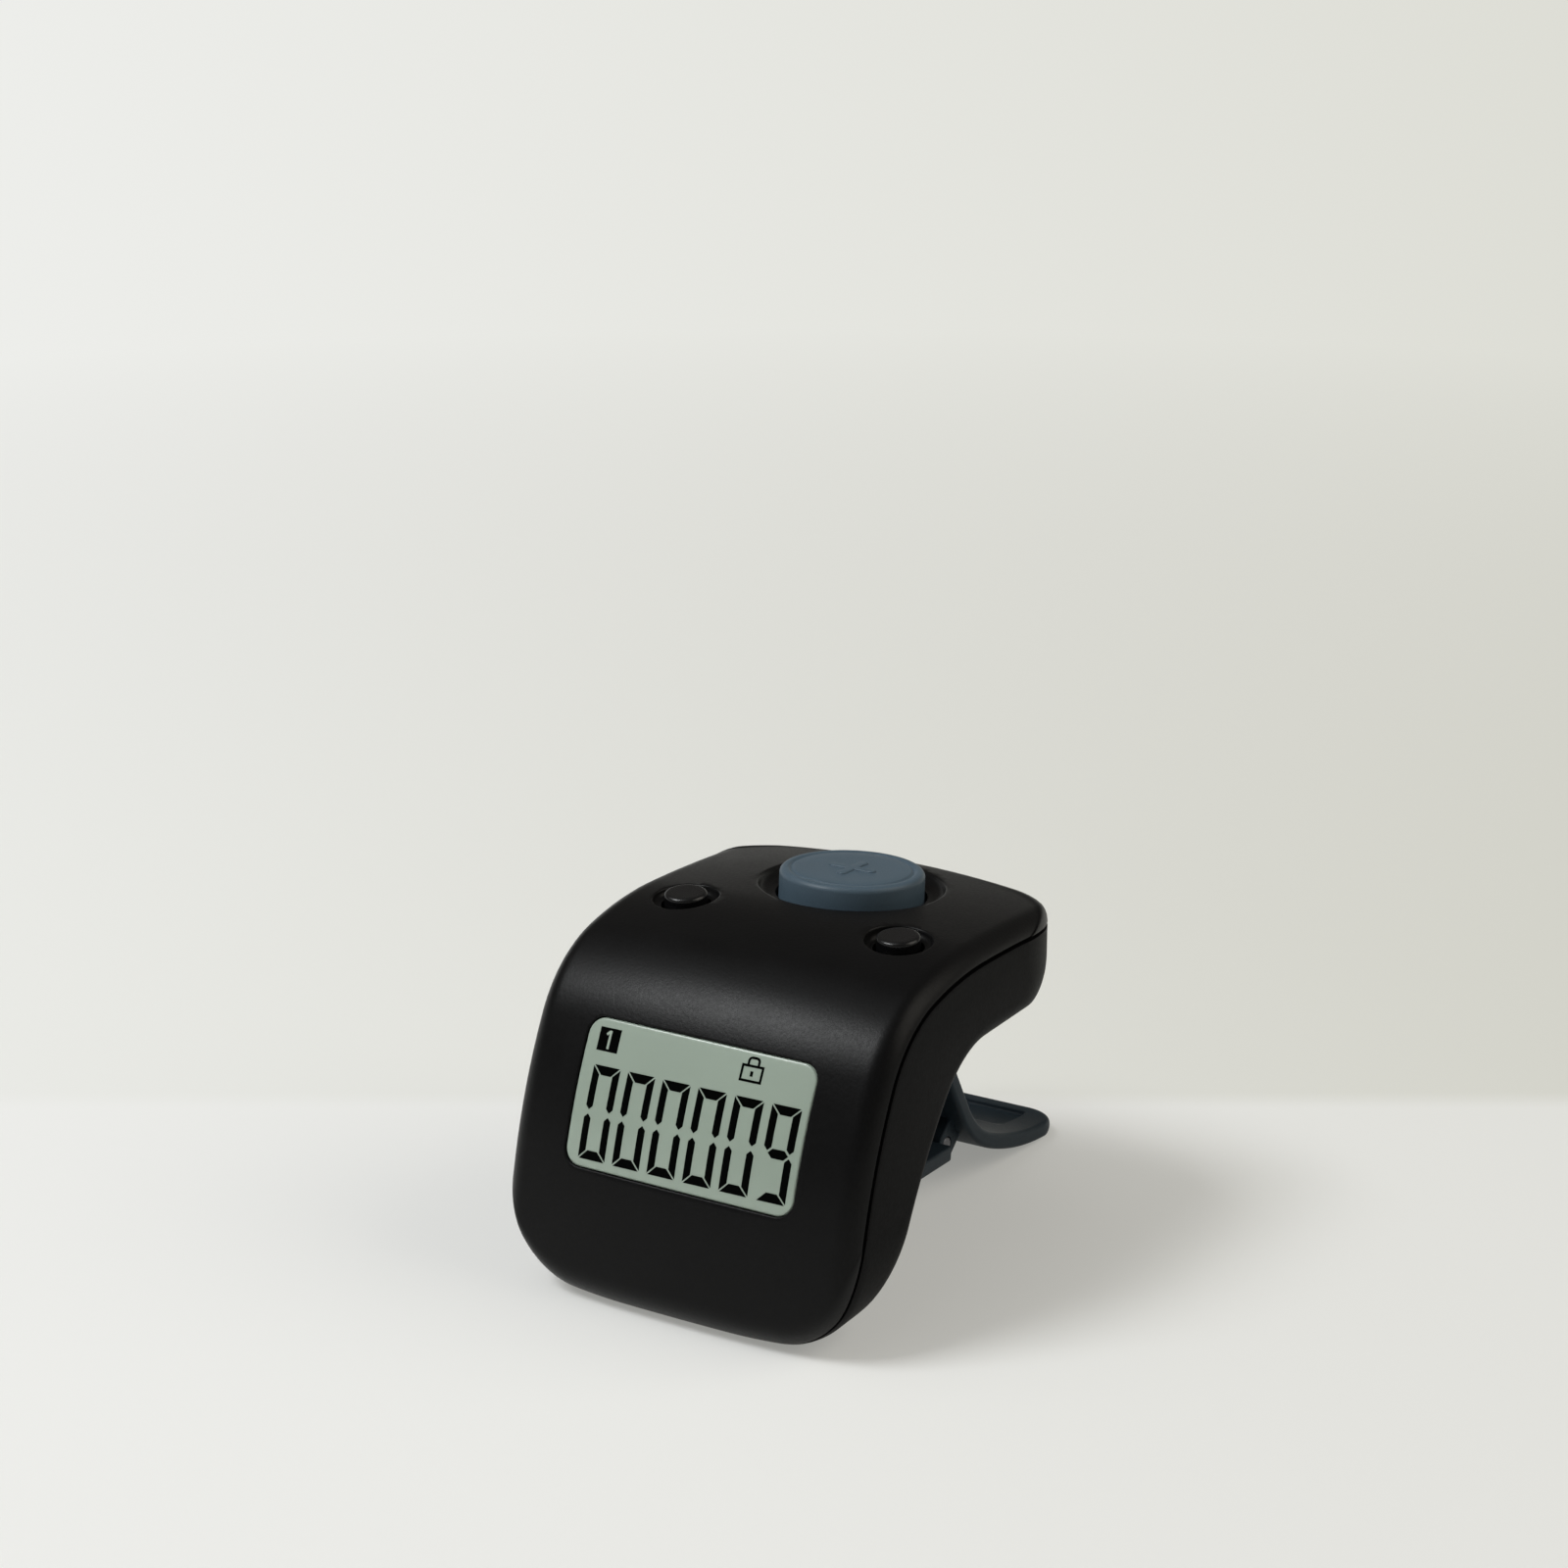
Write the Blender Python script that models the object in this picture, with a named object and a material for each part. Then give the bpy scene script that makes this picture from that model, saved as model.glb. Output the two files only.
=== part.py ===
"""Digital finger counter: a small tally counter that stands on its foot and its clip, or clips on a finger.

The section of the body is drawn in the Y-Z plane from tangent arcs and swept across X with a crown, bowed
ends and rounded edges. Its origin is the middle of the display window on the outer surface: -Y is the front
that the display faces, +X is the counter's right, and +Z is up. The empty named counter carries every piece
and moves that origin, so that the counter stands on the ground plane at the middle of its own footprint.
"""

import math

import bmesh
import bpy
from mathutils import Matrix, Vector

MM = 0.001
FULL_TURN = 2 * math.pi

# Body section: the outer curve from the foot up the leg, round the bend and back along the head
DISPLAY_HEIGHT = 18.07 * MM
LEG_LEAN = math.radians(68.1)
LEG_RADIUS = 50.0 * MM
BEND_START = 5.8 * MM
BEND_RADIUS = 12.7 * MM
BEND_END_SLOPE = math.radians(13.65)
SHOULDER_RADIUS = 35.0 * MM
SHOULDER_END_SLOPE = math.radians(-1.5)
TOP_RADIUS = 187.0 * MM
BODY_REACH = 37.4 * MM
BROW_RADIUS = 3.0 * MM
TAIL_RADIUS = 3.7 * MM
TOE_RADIUS = 3.2 * MM
HEEL_RADIUS = 4.0 * MM

# Body section: the finger side
SADDLE_START = 21.3 * MM
SADDLE_RADIUS = 8.8 * MM
SADDLE_TURN = math.radians(50.0)
CALF_RADIUS = 50.0 * MM

# Body across X
BODY_WIDTH = 34.4 * MM
CROWN_RADIUS = 180.0 * MM
EDGE_RADIUS = 2.0 * MM
SOLE_HALF_WIDTH = 5.0 * MM
FOOT_BOW_RADIUS = 60.0 * MM
FOOT_CORNER_RADIUS = 8.0 * MM
TAIL_BOW_RADIUS = 90.0 * MM
TAIL_CORNER_RADIUS = 4.6 * MM

# Shells
WALL = 1.4 * MM
INNER_EDGE_RADIUS = 0.8 * MM
PART_DEPTH = 2.1 * MM
PART_GAP = 0.35 * MM
SEAT_GAP = 0.1 * MM
SLIDE_GAP = 0.3 * MM
CUT_OVERRUN = 4.0 * MM

# Display stack, measured in from the outer surface
WINDOW_WIDTH = 22.0 * MM
WINDOW_HEIGHT = 12.6 * MM
WINDOW_CORNER = 1.6 * MM
WINDOW_GAP = 0.15 * MM
LENS_SINK = 0.12 * MM
LANDING_DEPTH = 2.45 * MM
LANDING_MARGIN = 2.2 * MM
LENS_FLANGE = 1.25 * MM
LENS_FLANGE_THICKNESS = 0.7 * MM
PANEL_MARGIN = 1.5 * MM
PANEL_THICKNESS = 1.6 * MM
FRAME_WALL = 0.85 * MM
ZEBRA_WIDTH = 22.0 * MM
ZEBRA_DEPTH = 1.5 * MM
ZEBRA_HEIGHT = 1.0 * MM
ZEBRA_INSET = 0.4 * MM
BOARD_THICKNESS = 0.8 * MM
CHIP_SIZE = 7.0 * MM
CHIP_THICKNESS = 0.9 * MM

# Keys
COUNT_PLACE = 33.1 * MM
COUNT_RADIUS = 6.4 * MM
COUNT_RISE = 1.6 * MM
COUNT_EDGE = 0.55 * MM
COUNT_TRAVEL = 0.5 * MM
COUNT_WELL_RADIUS = 8.2 * MM
COUNT_WELL_DEPTH = 1.1 * MM
COUNT_WELL_FLOOR = 0.8 * MM
COUNT_RING_RADIUS = 5.4 * MM
RING_HALF_WIDTH = 0.22 * MM
RING_DEPTH = 0.14 * MM
SIDE_PLACE = 22.6 * MM
SIDE_SPACING = BODY_WIDTH / 2 - 6.64 * MM
SIDE_RADIUS = 1.9 * MM
SIDE_RISE = 0.35 * MM
SIDE_EDGE = 0.3 * MM
SIDE_TRAVEL = 0.4 * MM
SIDE_WELL_RADIUS = 2.9 * MM
SIDE_WELL_DEPTH = 0.8 * MM
SIDE_WELL_FLOOR = 0.9 * MM
WELL_FLOOR_SHARE = 0.35
KEY_LIP = 0.7 * MM
FLANGE_THICKNESS = 0.7 * MM
FLANGE_GAP = 0.15 * MM
PRESS_GAP = 0.06 * MM
DOME_HEIGHT = 0.4 * MM
DOME_RADIUS = 3.0 * MM
SIDE_SWITCH_RADIUS = 1.7 * MM
SIDE_DOME_HEIGHT = 0.35 * MM

# Power
CELL_RADIUS = 5.8 * MM
CELL_THICKNESS = 3.05 * MM
CELL_EDGE = 0.3 * MM
CELL_CAP_RADIUS = CELL_RADIUS - 0.58 * MM
CELL_CAP_RISE = 0.2 * MM
CELL_SHOULDER = 0.25 * MM
CELL_GAP = 0.15 * MM
POCKET_WALL = 0.8 * MM
CONTACT_THICKNESS = 0.2 * MM
CONTACT_WIDTH = 2.6 * MM
CONTACT_REACH = 2.4 * MM
CONTACT_DEPTH = 2.135 * MM
LEAF_LENGTH = 8.12 * MM
NOTCH_WIDTH = 3.0 * MM
NOTCH_DEPTH = CONTACT_DEPTH + 0.4575 * MM
DOOR_THICKNESS = 0.9 * MM
DOOR_WIDTH = 18.0 * MM
DOOR_LENGTH = 2 * CELL_RADIUS + 0.2 * MM
DOOR_OFFSET = 1.5 * MM
DOOR_CORNER = 1.5 * MM
DOOR_SCREW_PLACE = 8.4 * MM
DOOR_SCREW_LENGTH = DOOR_THICKNESS + 2.6 * MM
DOOR_SCREW_SINK = 0.05 * MM
DOOR_SINK_SHARE = 0.8
DOOR_BOSS_RADIUS = 1.6 * MM
TONGUE_WIDTH = 5.0 * MM
TONGUE_LENGTH = 0.9 * MM

# Boards
BOARD_FRONT = 13.2 * MM
BOARD_BACK = 30.8 * MM
BOARD_SHOULDER = 24.5 * MM
BOARD_WIDE = 12.6 * MM
BOARD_NARROW = 9.6 * MM
RIBBON_WIDTH = 10.0 * MM
RIBBON_THICKNESS = 0.2 * MM
RIBBON_BEND = 3.0 * MM
RIBBON_LAP = 2.6 * MM

# Fasteners
SCREW_RADIUS = 0.8 * MM
SCREW_HEAD_RADIUS = 1.5 * MM
SCREW_HEAD_HEIGHT = 1.0 * MM
SCREW_GAP = 0.1 * MM
SCREW_SINK = 0.8 * MM
SCREW_END_COVER = 1.2 * MM
BOSS_RADIUS = 2.0 * MM
BOSS_MEET_DEPTH = 5.4 * MM
LEG_SCREW_SPACING = BODY_WIDTH / 2 - 6.0 * MM
LEG_SCREW_HEIGHT = 5.0 * MM
HEAD_SCREW_SPACING = BODY_WIDTH / 2 - 4.5 * MM
HEAD_SCREW_PLACE = 29.6 * MM

# Clip
CLIP_REACH = 51.6 * MM
CLIP_WIDTH = 18.0 * MM
CLIP_THICKNESS = 1.5 * MM
CLIP_EDGE = 0.4 * MM
CLIP_CORNER = 3.2 * MM
TAB_RADIUS = 34.0 * MM
TAB_TURN = math.radians(24.0)
CURL_RADIUS = 11.5 * MM
CURL_TURN = math.radians(35.4)
STRIP_LENGTH = 12.2 * MM
THUMB_WIDTH = 12.4 * MM
THUMB_LENGTH = 5.6 * MM
THUMB_INSET = 1.7 * MM
THUMB_DEPTH = 0.45 * MM
THUMB_CORNER = 0.5 * MM
HINGE_TURN = math.radians(26.5)
HINGE_STAND_OFF = 2.55 * MM
PIN_RADIUS = 0.75 * MM
PIN_GAP = 0.05 * MM
KNUCKLE_RADIUS = 1.5 * MM
KNUCKLE_INNER = 2.9 * MM
KNUCKLE_WIDTH = 2.3 * MM
KNUCKLE_WRAP = math.radians(240.0)
KNUCKLE_ROOT = 0.5 * MM
KNUCKLE_STEP = 0.05 * MM
LUG_WIDTH = 2.0 * MM
ARM_THICKNESS = 1.45 * MM
ARM_SLOPE = math.radians(6.5)
ARM_EDGE = 0.25 * MM
ROOT_HEIGHT = 5.4 * MM
ROOT_DEPTH = 3.0 * MM
ROOT_PAD_DEPTH = 1.2 * MM
ROOT_GAP = 0.2 * MM
ROOT_SCREW_SPACING = 5.6 * MM
ROOT_SCREW_LENGTH = 4.2 * MM
WIRE_RADIUS = 0.25 * MM
COIL_GAP = SEAT_GAP + 0.05 * MM
SPRING_TURNS = 4
SPRING_PITCH = 1.0 * MM
SPRING_ARM = 5.0 * MM
SPRING_OVERHANG = 0.6 * MM

# Facets
ROUND_STEPS = 40
SMALL_STEPS = 20
SCREW_STEPS = 12
ARC_STEPS = 5
CURVE_STEPS = (6, 9, 4, 3)
BAND_STEPS = (8, 10, 5, 5)
FOOT_SHARES = (0.45, 0.78)
TAB_SHARES = (0.6, 0.3)

COLOURS = {
    "black_plastic": ((0.010, 0.010, 0.011), 0.45, 0.0),
    "black_gloss": ((0.009, 0.009, 0.010), 0.22, 0.0),
    "slate_plastic": ((0.040, 0.058, 0.078), 0.50, 0.0),
    "display_lens": ((0.270, 0.330, 0.270), 0.12, 0.0),
    "display_glass": ((0.230, 0.290, 0.230), 0.20, 0.0),
    "board_green": ((0.030, 0.140, 0.060), 0.50, 0.0),
    "chip_black": ((0.020, 0.020, 0.022), 0.55, 0.0),
    "ribbon_amber": ((0.420, 0.200, 0.040), 0.40, 0.0),
    "zebra_rubber": ((0.060, 0.060, 0.065), 0.80, 0.0),
    "steel": ((0.560, 0.560, 0.570), 0.28, 1.0),
    "contact_metal": ((0.720, 0.640, 0.420), 0.30, 1.0),
}


def clear_scene():
    """Remove whatever the file opened with."""
    for item in list(bpy.data.objects):
        bpy.data.objects.remove(item, do_unlink=True)


def material(name):
    """Return the named Principled material, made on its first use."""
    found = bpy.data.materials.get(name)
    if found:
        return found
    colour, roughness, metallic = COLOURS[name]
    made = bpy.data.materials.new(name)
    made.use_nodes = True
    surface = made.node_tree.nodes["Principled BSDF"]
    surface.inputs["Base Color"].default_value = (*colour, 1.0)
    surface.inputs["Roughness"].default_value = roughness
    surface.inputs["Metallic"].default_value = metallic
    made.diffuse_color = (*colour, 1.0)
    return made


def mesh_object(name, mesh_builder, parent, frame):
    """Write a bmesh into a new object under a parent, at a frame given in the parent's space."""
    bmesh.ops.recalc_face_normals(mesh_builder, faces=mesh_builder.faces[:])
    mesh = bpy.data.meshes.new(name)
    mesh_builder.to_mesh(mesh)
    mesh_builder.free()
    made = bpy.data.objects.new(name, mesh)
    bpy.context.scene.collection.objects.link(made)
    made.parent = parent
    made.matrix_basis = frame
    return made


def piece(made, material_name, smooth=True):
    """Turn an object into a finished piece with its own material."""
    made.data.materials.append(material(material_name))
    made.data.polygons.foreach_set("use_smooth", [smooth] * len(made.data.polygons))
    return made


def cutter(made):
    """Keep an object out of the finished part: it only shapes other pieces."""
    made.hide_render = True
    made.display_type = "WIRE"
    return made


def combine(target, tool, operation, solver="EXACT"):
    """Shape a target with a tool by a Boolean modifier."""
    step = target.modifiers.new(f"{operation.lower()} {tool.name}", "BOOLEAN")
    step.operation = operation
    step.solver = solver
    step.object = tool
    return target


def carve(target, tool, operation):
    """Shape one of the shells, whose many shallow crossings the manifold solver keeps closed."""
    return combine(target, tool, operation, "MANIFOLD")


def empty(name, parent, frame):
    """Add an empty that carries other pieces."""
    made = bpy.data.objects.new(name, None)
    made.empty_display_size = 5 * MM
    bpy.context.scene.collection.objects.link(made)
    made.parent = parent
    made.matrix_basis = frame
    return made


# Plane geometry: a direction is an angle from +Y towards +Z


def along(angle):
    """Unit vector in the Y-Z plane."""
    return Vector((math.cos(angle), math.sin(angle)))


def right_of(angle):
    """Unit vector to the right of a direction of travel."""
    return Vector((math.sin(angle), -math.cos(angle)))


def arc_points(start, heading, radius, turn, count):
    """Points and headings along an arc, left out its start; a positive turn is to the left."""
    side = -radius if turn > 0 else radius
    centre = start + right_of(heading) * side
    headings = [heading + turn * step / count for step in range(1, count + 1)]
    return [(centre - right_of(angle) * side, angle) for angle in headings]


def front_breaks():
    """Distances along the outer curve where its radius changes."""
    bend_slope = LEG_LEAN - BEND_START / LEG_RADIUS
    bend_end = BEND_START + BEND_RADIUS * (bend_slope - BEND_END_SLOPE)
    shoulder_end = bend_end + SHOULDER_RADIUS * (BEND_END_SLOPE - SHOULDER_END_SLOPE)
    return BEND_START, bend_end, shoulder_end


def front_curve(distance):
    """Point and heading on the outer curve at a distance up from the middle of the display."""
    radii = (LEG_RADIUS, BEND_RADIUS, SHOULDER_RADIUS, TOP_RADIUS)
    point = Vector((0.0, 0.0))
    heading = LEG_LEAN
    start = 0.0
    for radius, end in zip(radii, (*front_breaks(), math.inf)):
        length = min(distance, end) - start
        centre = point + right_of(heading) * radius
        heading -= length / radius
        point = centre - right_of(heading) * radius
        if distance <= end:
            break
        start = end
    return point, heading


def section_frame(point, heading, side=0.0):
    """Frame whose Y axis runs along a heading in the section, with X to the counter's right."""
    ahead = along(heading)
    left = -right_of(heading)
    return Matrix(
        (
            (1.0, 0.0, 0.0, side),
            (0.0, ahead.x, left.x, point.x),
            (0.0, ahead.y, left.y, point.y),
            (0.0, 0.0, 0.0, 1.0),
        )
    )


def surface_frame(distance, side=0.0):
    """Frame on the outer surface: Z out of it, Y up along the curve, X to the counter's right."""
    point, heading = front_curve(distance)
    return section_frame(point + right_of(heading) * crown(side), heading, side)


# Heights in the head, from the outer surface at the count button down


def count_surface_height():
    """Height of the outer surface under the middle of the count button."""
    return front_curve(COUNT_PLACE)[0].y


def board_top():
    """Height of the button board's upper face."""
    key = COUNT_WELL_DEPTH + COUNT_WELL_FLOOR + FLANGE_GAP + FLANGE_THICKNESS
    return count_surface_height() - key - COUNT_TRAVEL - PRESS_GAP - DOME_HEIGHT - PRESS_GAP


def cell_top():
    """Height of the coin cell's upper face."""
    return board_top() - BOARD_THICKNESS - CONTACT_THICKNESS - 2 * SEAT_GAP


def underside():
    """Height of the head's flat lower face."""
    return cell_top() - CELL_THICKNESS - CELL_GAP - DOOR_THICKNESS


def cell_place():
    """Distance back of the coin cell: the middle of the head's flat lower face."""
    return (SADDLE_START + BODY_REACH - TAIL_RADIUS) / 2


# Shape of the body across X


def crown(side):
    """How far the outer surface falls away at a distance from the middle."""
    return side * side / (2 * CROWN_RADIUS)


def corner_drop(side, radius, inset):
    """How far a rounded plan corner pulls in at a distance from the middle."""
    inner = radius - inset
    past = abs(side) - (BODY_WIDTH / 2 - radius)
    if past <= 0:
        return 0.0
    return inner - math.sqrt(max(inner * inner - past * past, 0.0))


def foot_height(side, inset):
    """Height of the bowed foot line."""
    past = max(abs(side) - SOLE_HALF_WIDTH, 0.0)
    bow = past * past / (2 * FOOT_BOW_RADIUS)
    return bow + corner_drop(side, FOOT_CORNER_RADIUS, inset) - DISPLAY_HEIGHT


def tail_reach(side, inset):
    """Distance back of the bowed tail line."""
    bow = side * side / (2 * TAIL_BOW_RADIUS)
    return BODY_REACH - bow - corner_drop(side, TAIL_CORNER_RADIUS, inset)


def calf_arc():
    """Centre of the arc up the back of the leg, and its heading where it meets the saddle."""
    start = Vector((SADDLE_START, underside()))
    end, heading = arc_points(start, -math.pi, SADDLE_RADIUS, SADDLE_TURN, 1)[0]
    return end - right_of(heading) * CALF_RADIUS, heading


def body_outline(side, inset, edge):
    """Closed section of the body as points, clockwise from the toe, set in by its inset and edge."""
    foot = foot_height(side, inset)
    tail = tail_reach(side, inset)

    leg_centre = right_of(LEG_LEAN) * LEG_RADIUS
    toe_z = foot + TOE_RADIUS
    toe_reach = math.sqrt((LEG_RADIUS - TOE_RADIUS) ** 2 - (toe_z - leg_centre.y) ** 2)
    toe = Vector((leg_centre.x - toe_reach, toe_z))
    toe_heading = math.atan2(leg_centre.x - toe.x, toe.y - leg_centre.y)

    shoulder_end = front_breaks()[-1]
    shoulder, shoulder_heading = front_curve(shoulder_end)
    top_centre = shoulder + right_of(shoulder_heading) * TOP_RADIUS
    brow_y = tail - BROW_RADIUS
    brow_rise = math.sqrt((TOP_RADIUS - BROW_RADIUS) ** 2 - (brow_y - top_centre.x) ** 2)
    brow = Vector((brow_y, top_centre.y + brow_rise))
    brow_heading = math.atan2(top_centre.x - brow.x, brow.y - top_centre.y)

    calf_centre, calf_heading = calf_arc()
    heel_z = foot + HEEL_RADIUS
    heel_reach = math.sqrt((CALF_RADIUS + HEEL_RADIUS) ** 2 - (heel_z - calf_centre.y) ** 2)
    heel = Vector((calf_centre.x - heel_reach, heel_z))
    heel_heading = math.atan2(heel.x - calf_centre.x, calf_centre.y - heel.y)

    first = (LEG_LEAN - toe_heading) * LEG_RADIUS
    last = shoulder_end + (shoulder_heading - brow_heading) * TOP_RADIUS
    points = []
    stops = (first, *front_breaks(), last)
    for start, end, count in zip(stops, stops[1:], CURVE_STEPS):
        for step in range(count):
            point, heading = front_curve(start + (end - start) * step / count)
            points.append((point, heading, 1.0))

    def round_corner(centre, radius, heading, end_heading, weight, end_weight):
        """Add a convex corner, with a share of the crown that fades along it."""
        for step in range(ARC_STEPS):
            share = step / (ARC_STEPS - 1)
            angle = heading + (end_heading - heading) * share
            points.append((centre - right_of(angle) * radius, angle, weight + (end_weight - weight) * share))

    round_corner(brow, BROW_RADIUS, brow_heading, -math.pi / 2, 1.0, 0.0)
    tail_corner = Vector((tail - TAIL_RADIUS, underside() + TAIL_RADIUS))
    round_corner(tail_corner, TAIL_RADIUS, -math.pi / 2, -math.pi, 0.0, 0.0)
    saddle = Vector((SADDLE_START, underside()))
    points.append((saddle, -math.pi, 0.0))
    for point, heading in arc_points(saddle, -math.pi, SADDLE_RADIUS, SADDLE_TURN, 7):
        points.append((point, heading, 0.0))
    calf_turn = (heel_heading - calf_heading) % FULL_TURN
    for point, heading in arc_points(points[-1][0], calf_heading, CALF_RADIUS, calf_turn, 5)[:-1]:
        points.append((point, heading, 0.0))
    round_corner(heel, HEEL_RADIUS, calf_heading + calf_turn, -math.pi, 0.0, 0.0)
    round_corner(toe, TOE_RADIUS, -math.pi, toe_heading - FULL_TURN, 0.0, 1.0)
    points.pop()

    sag = crown(side)
    return [point + right_of(heading) * (inset + edge + weight * sag) for point, heading, weight in points]


def loft(name, rings, parent):
    """Closed solid through rings of points, one ring at each place along X."""
    builder = bmesh.new()
    loops = []
    for side, ring in rings:
        loops.append([builder.verts.new((side, point.x, point.y)) for point in ring])
    count = len(loops[0])
    for loop, following in zip(loops, loops[1:]):
        for index in range(count):
            after = (index + 1) % count
            builder.faces.new((loop[index], loop[after], following[after], following[index]))
    builder.faces.new(loops[0])
    builder.faces.new(loops[-1])
    return mesh_object(name, builder, parent, Matrix.Identity(4))


def edge_places(half_width, radius, count=3):
    """Places near one side with the inset of a rounded edge, from the middle out."""
    places = []
    for step in range(count + 1):
        angle = math.pi / 2 * step / count
        places.append((half_width - radius * (1 - math.sin(angle)), radius * (1 - math.cos(angle))))
    return places


def body_block(name, inset, edge_radius, parent):
    """The whole body as one solid, set in from its outer surface."""
    half_width = BODY_WIDTH / 2 - inset
    corner_start = BODY_WIDTH / 2 - FOOT_CORNER_RADIUS
    edge_start = half_width - edge_radius
    places = [(0.0, 0.0), (SOLE_HALF_WIDTH, 0.0), (corner_start, 0.0)]
    places += [(corner_start + (edge_start - corner_start) * share, 0.0) for share in FOOT_SHARES]
    places += edge_places(half_width, edge_radius)
    mirrored = [(-side, edge) for side, edge in reversed(places[1:])]
    rings = [(side, body_outline(side, inset, edge)) for side, edge in mirrored + places]
    return loft(name, rings, parent)


def front_band(name, depth, parent):
    """Everything in front of and above a depth under the outer curve, wider and longer than the body."""
    start = -DISPLAY_HEIGHT - CUT_OVERRUN
    end = BODY_REACH + 3 * CUT_OVERRUN
    breaks = (start, *front_breaks(), end)
    inner = []
    outer = []
    for low, high, count in zip(breaks, breaks[1:], BAND_STEPS):
        for step in range(count + (high == end)):
            point, heading = front_curve(low + (high - low) * step / count)
            inner.append(point + right_of(heading) * depth)
            outer.append(point - right_of(heading) * CUT_OVERRUN)
    ring = inner + outer[::-1]
    reach = BODY_WIDTH / 2 + CUT_OVERRUN
    return cutter(loft(name, [(-reach, ring), (reach, ring)], parent))


# Small shapes in their own frames


def turned(name, profile, steps, parent, frame):
    """Solid of revolution about Z, from points of radius and height that start and end on the axis."""
    builder = bmesh.new()
    verts = [builder.verts.new((radius, 0.0, height)) for radius, height in profile]
    edges = [builder.edges.new(pair) for pair in zip(verts, verts[1:])]
    bmesh.ops.spin(
        builder,
        geom=verts + edges,
        cent=(0.0, 0.0, 0.0),
        axis=(0.0, 0.0, 1.0),
        angle=FULL_TURN,
        steps=steps,
        use_merge=True,
    )
    bmesh.ops.remove_doubles(builder, verts=builder.verts[:], dist=1e-7)
    return mesh_object(name, builder, parent, frame)


def prism(name, outline, low, high, parent, frame):
    """Solid with a flat outline in X and Y, between two heights along Z."""
    builder = bmesh.new()
    base = builder.faces.new([builder.verts.new((x, y, low)) for x, y in outline])
    raised = bmesh.ops.extrude_face_region(builder, geom=[base])
    tops = [item for item in raised["geom"] if isinstance(item, bmesh.types.BMVert)]
    bmesh.ops.translate(builder, verts=tops, vec=(0.0, 0.0, high - low))
    return mesh_object(name, builder, parent, frame)


def extrusion(name, outline, half_width, parent, frame=None):
    """Solid with an outline in the section plane, the same to the left and right of the middle."""
    rings = [(side, [Vector(point) for point in outline]) for side in (-half_width, half_width)]
    made = loft(name, rings, parent)
    if frame is not None:
        made.matrix_basis = frame
    return made


def rounded_rectangle(width, height, radius, steps=5, centre=(0.0, 0.0)):
    """Outline of a rectangle with rounded corners."""
    points = []
    for corner in range(4):
        across = (1, -1, -1, 1)[corner] * (width / 2 - radius)
        up = (1, 1, -1, -1)[corner] * (height / 2 - radius)
        for step in range(steps + 1):
            angle = math.pi / 2 * (corner + step / steps)
            points.append(
                (
                    centre[0] + across + radius * math.cos(angle),
                    centre[1] + up + radius * math.sin(angle),
                )
            )
    return points


def rectangle(width, height, centre=(0.0, 0.0)):
    """Outline of a plain rectangle."""
    left = centre[0] - width / 2
    low = centre[1] - height / 2
    return [(left, low), (left + width, low), (left + width, low + height), (left, low + height)]


def rod(name, radius, low, high, steps, parent, frame):
    """Plain cylinder between two heights along Z."""
    return turned(name, [(0.0, low), (radius, low), (radius, high), (0.0, high)], steps, parent, frame)


def join(name, parts):
    """Make one object of several separate solids that stay apart."""
    builder = bmesh.new()
    parent = parts[0].parent
    for part in parts:
        mesh = part.data
        mesh.transform(part.matrix_basis)
        builder.from_mesh(mesh)
        bpy.data.objects.remove(part, do_unlink=True)
    return mesh_object(name, builder, parent, Matrix.Identity(4))


# Where the screws stand


def leg_screw_frame(side):
    """Frame of a screw low in the leg: Z points out of the front."""
    height = LEG_SCREW_HEIGHT - DISPLAY_HEIGHT
    slope = math.asin((height + LEG_RADIUS * math.cos(LEG_LEAN)) / LEG_RADIUS)
    reach = LEG_RADIUS * math.sin(LEG_LEAN) - LEG_RADIUS * math.cos(slope)
    return Matrix.Translation((side, reach, height)) @ Matrix.Rotation(math.pi / 2, 4, "X")


def head_screw_frame(side):
    """Frame of a screw in the head: Z points out of the top."""
    start, heading = front_curve(front_breaks()[-1])
    centre = start + right_of(heading) * TOP_RADIUS
    height = centre.y + math.sqrt(TOP_RADIUS**2 - (HEAD_SCREW_PLACE - centre.x) ** 2)
    return Matrix.Translation((side, HEAD_SCREW_PLACE, height))


def leg_screw_depth():
    """Distance from the front surface to the back of the leg at the leg screws."""
    centre = calf_arc()[0]
    height = LEG_SCREW_HEIGHT - DISPLAY_HEIGHT
    back = centre.x - math.sqrt(CALF_RADIUS**2 - (height - centre.y) ** 2)
    return back - leg_screw_frame(0.0).translation.y


def head_screw_depth():
    """Distance from the top surface to the underside at the head screws."""
    return head_screw_frame(0.0).translation.z - underside()


def case_screw_places():
    """Frame and body depth of each screw that holds the two shells together."""
    places = []
    for side in (-LEG_SCREW_SPACING, LEG_SCREW_SPACING):
        places.append((leg_screw_frame(side), leg_screw_depth()))
    for side in (-HEAD_SCREW_SPACING, HEAD_SCREW_SPACING):
        places.append((head_screw_frame(side), head_screw_depth()))
    return places


def door_screw_frame():
    """Frame of the door's screw, with its head level with the underside."""
    return Matrix.Translation((DOOR_SCREW_PLACE, cell_place(), underside()))


def root_frame(side=0.0):
    """Frame where the clip's arm meets the leg: Y points out of the back of the leg."""
    point, heading = root_point()
    return section_frame(point, heading, side)


# Clip geometry


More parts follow.
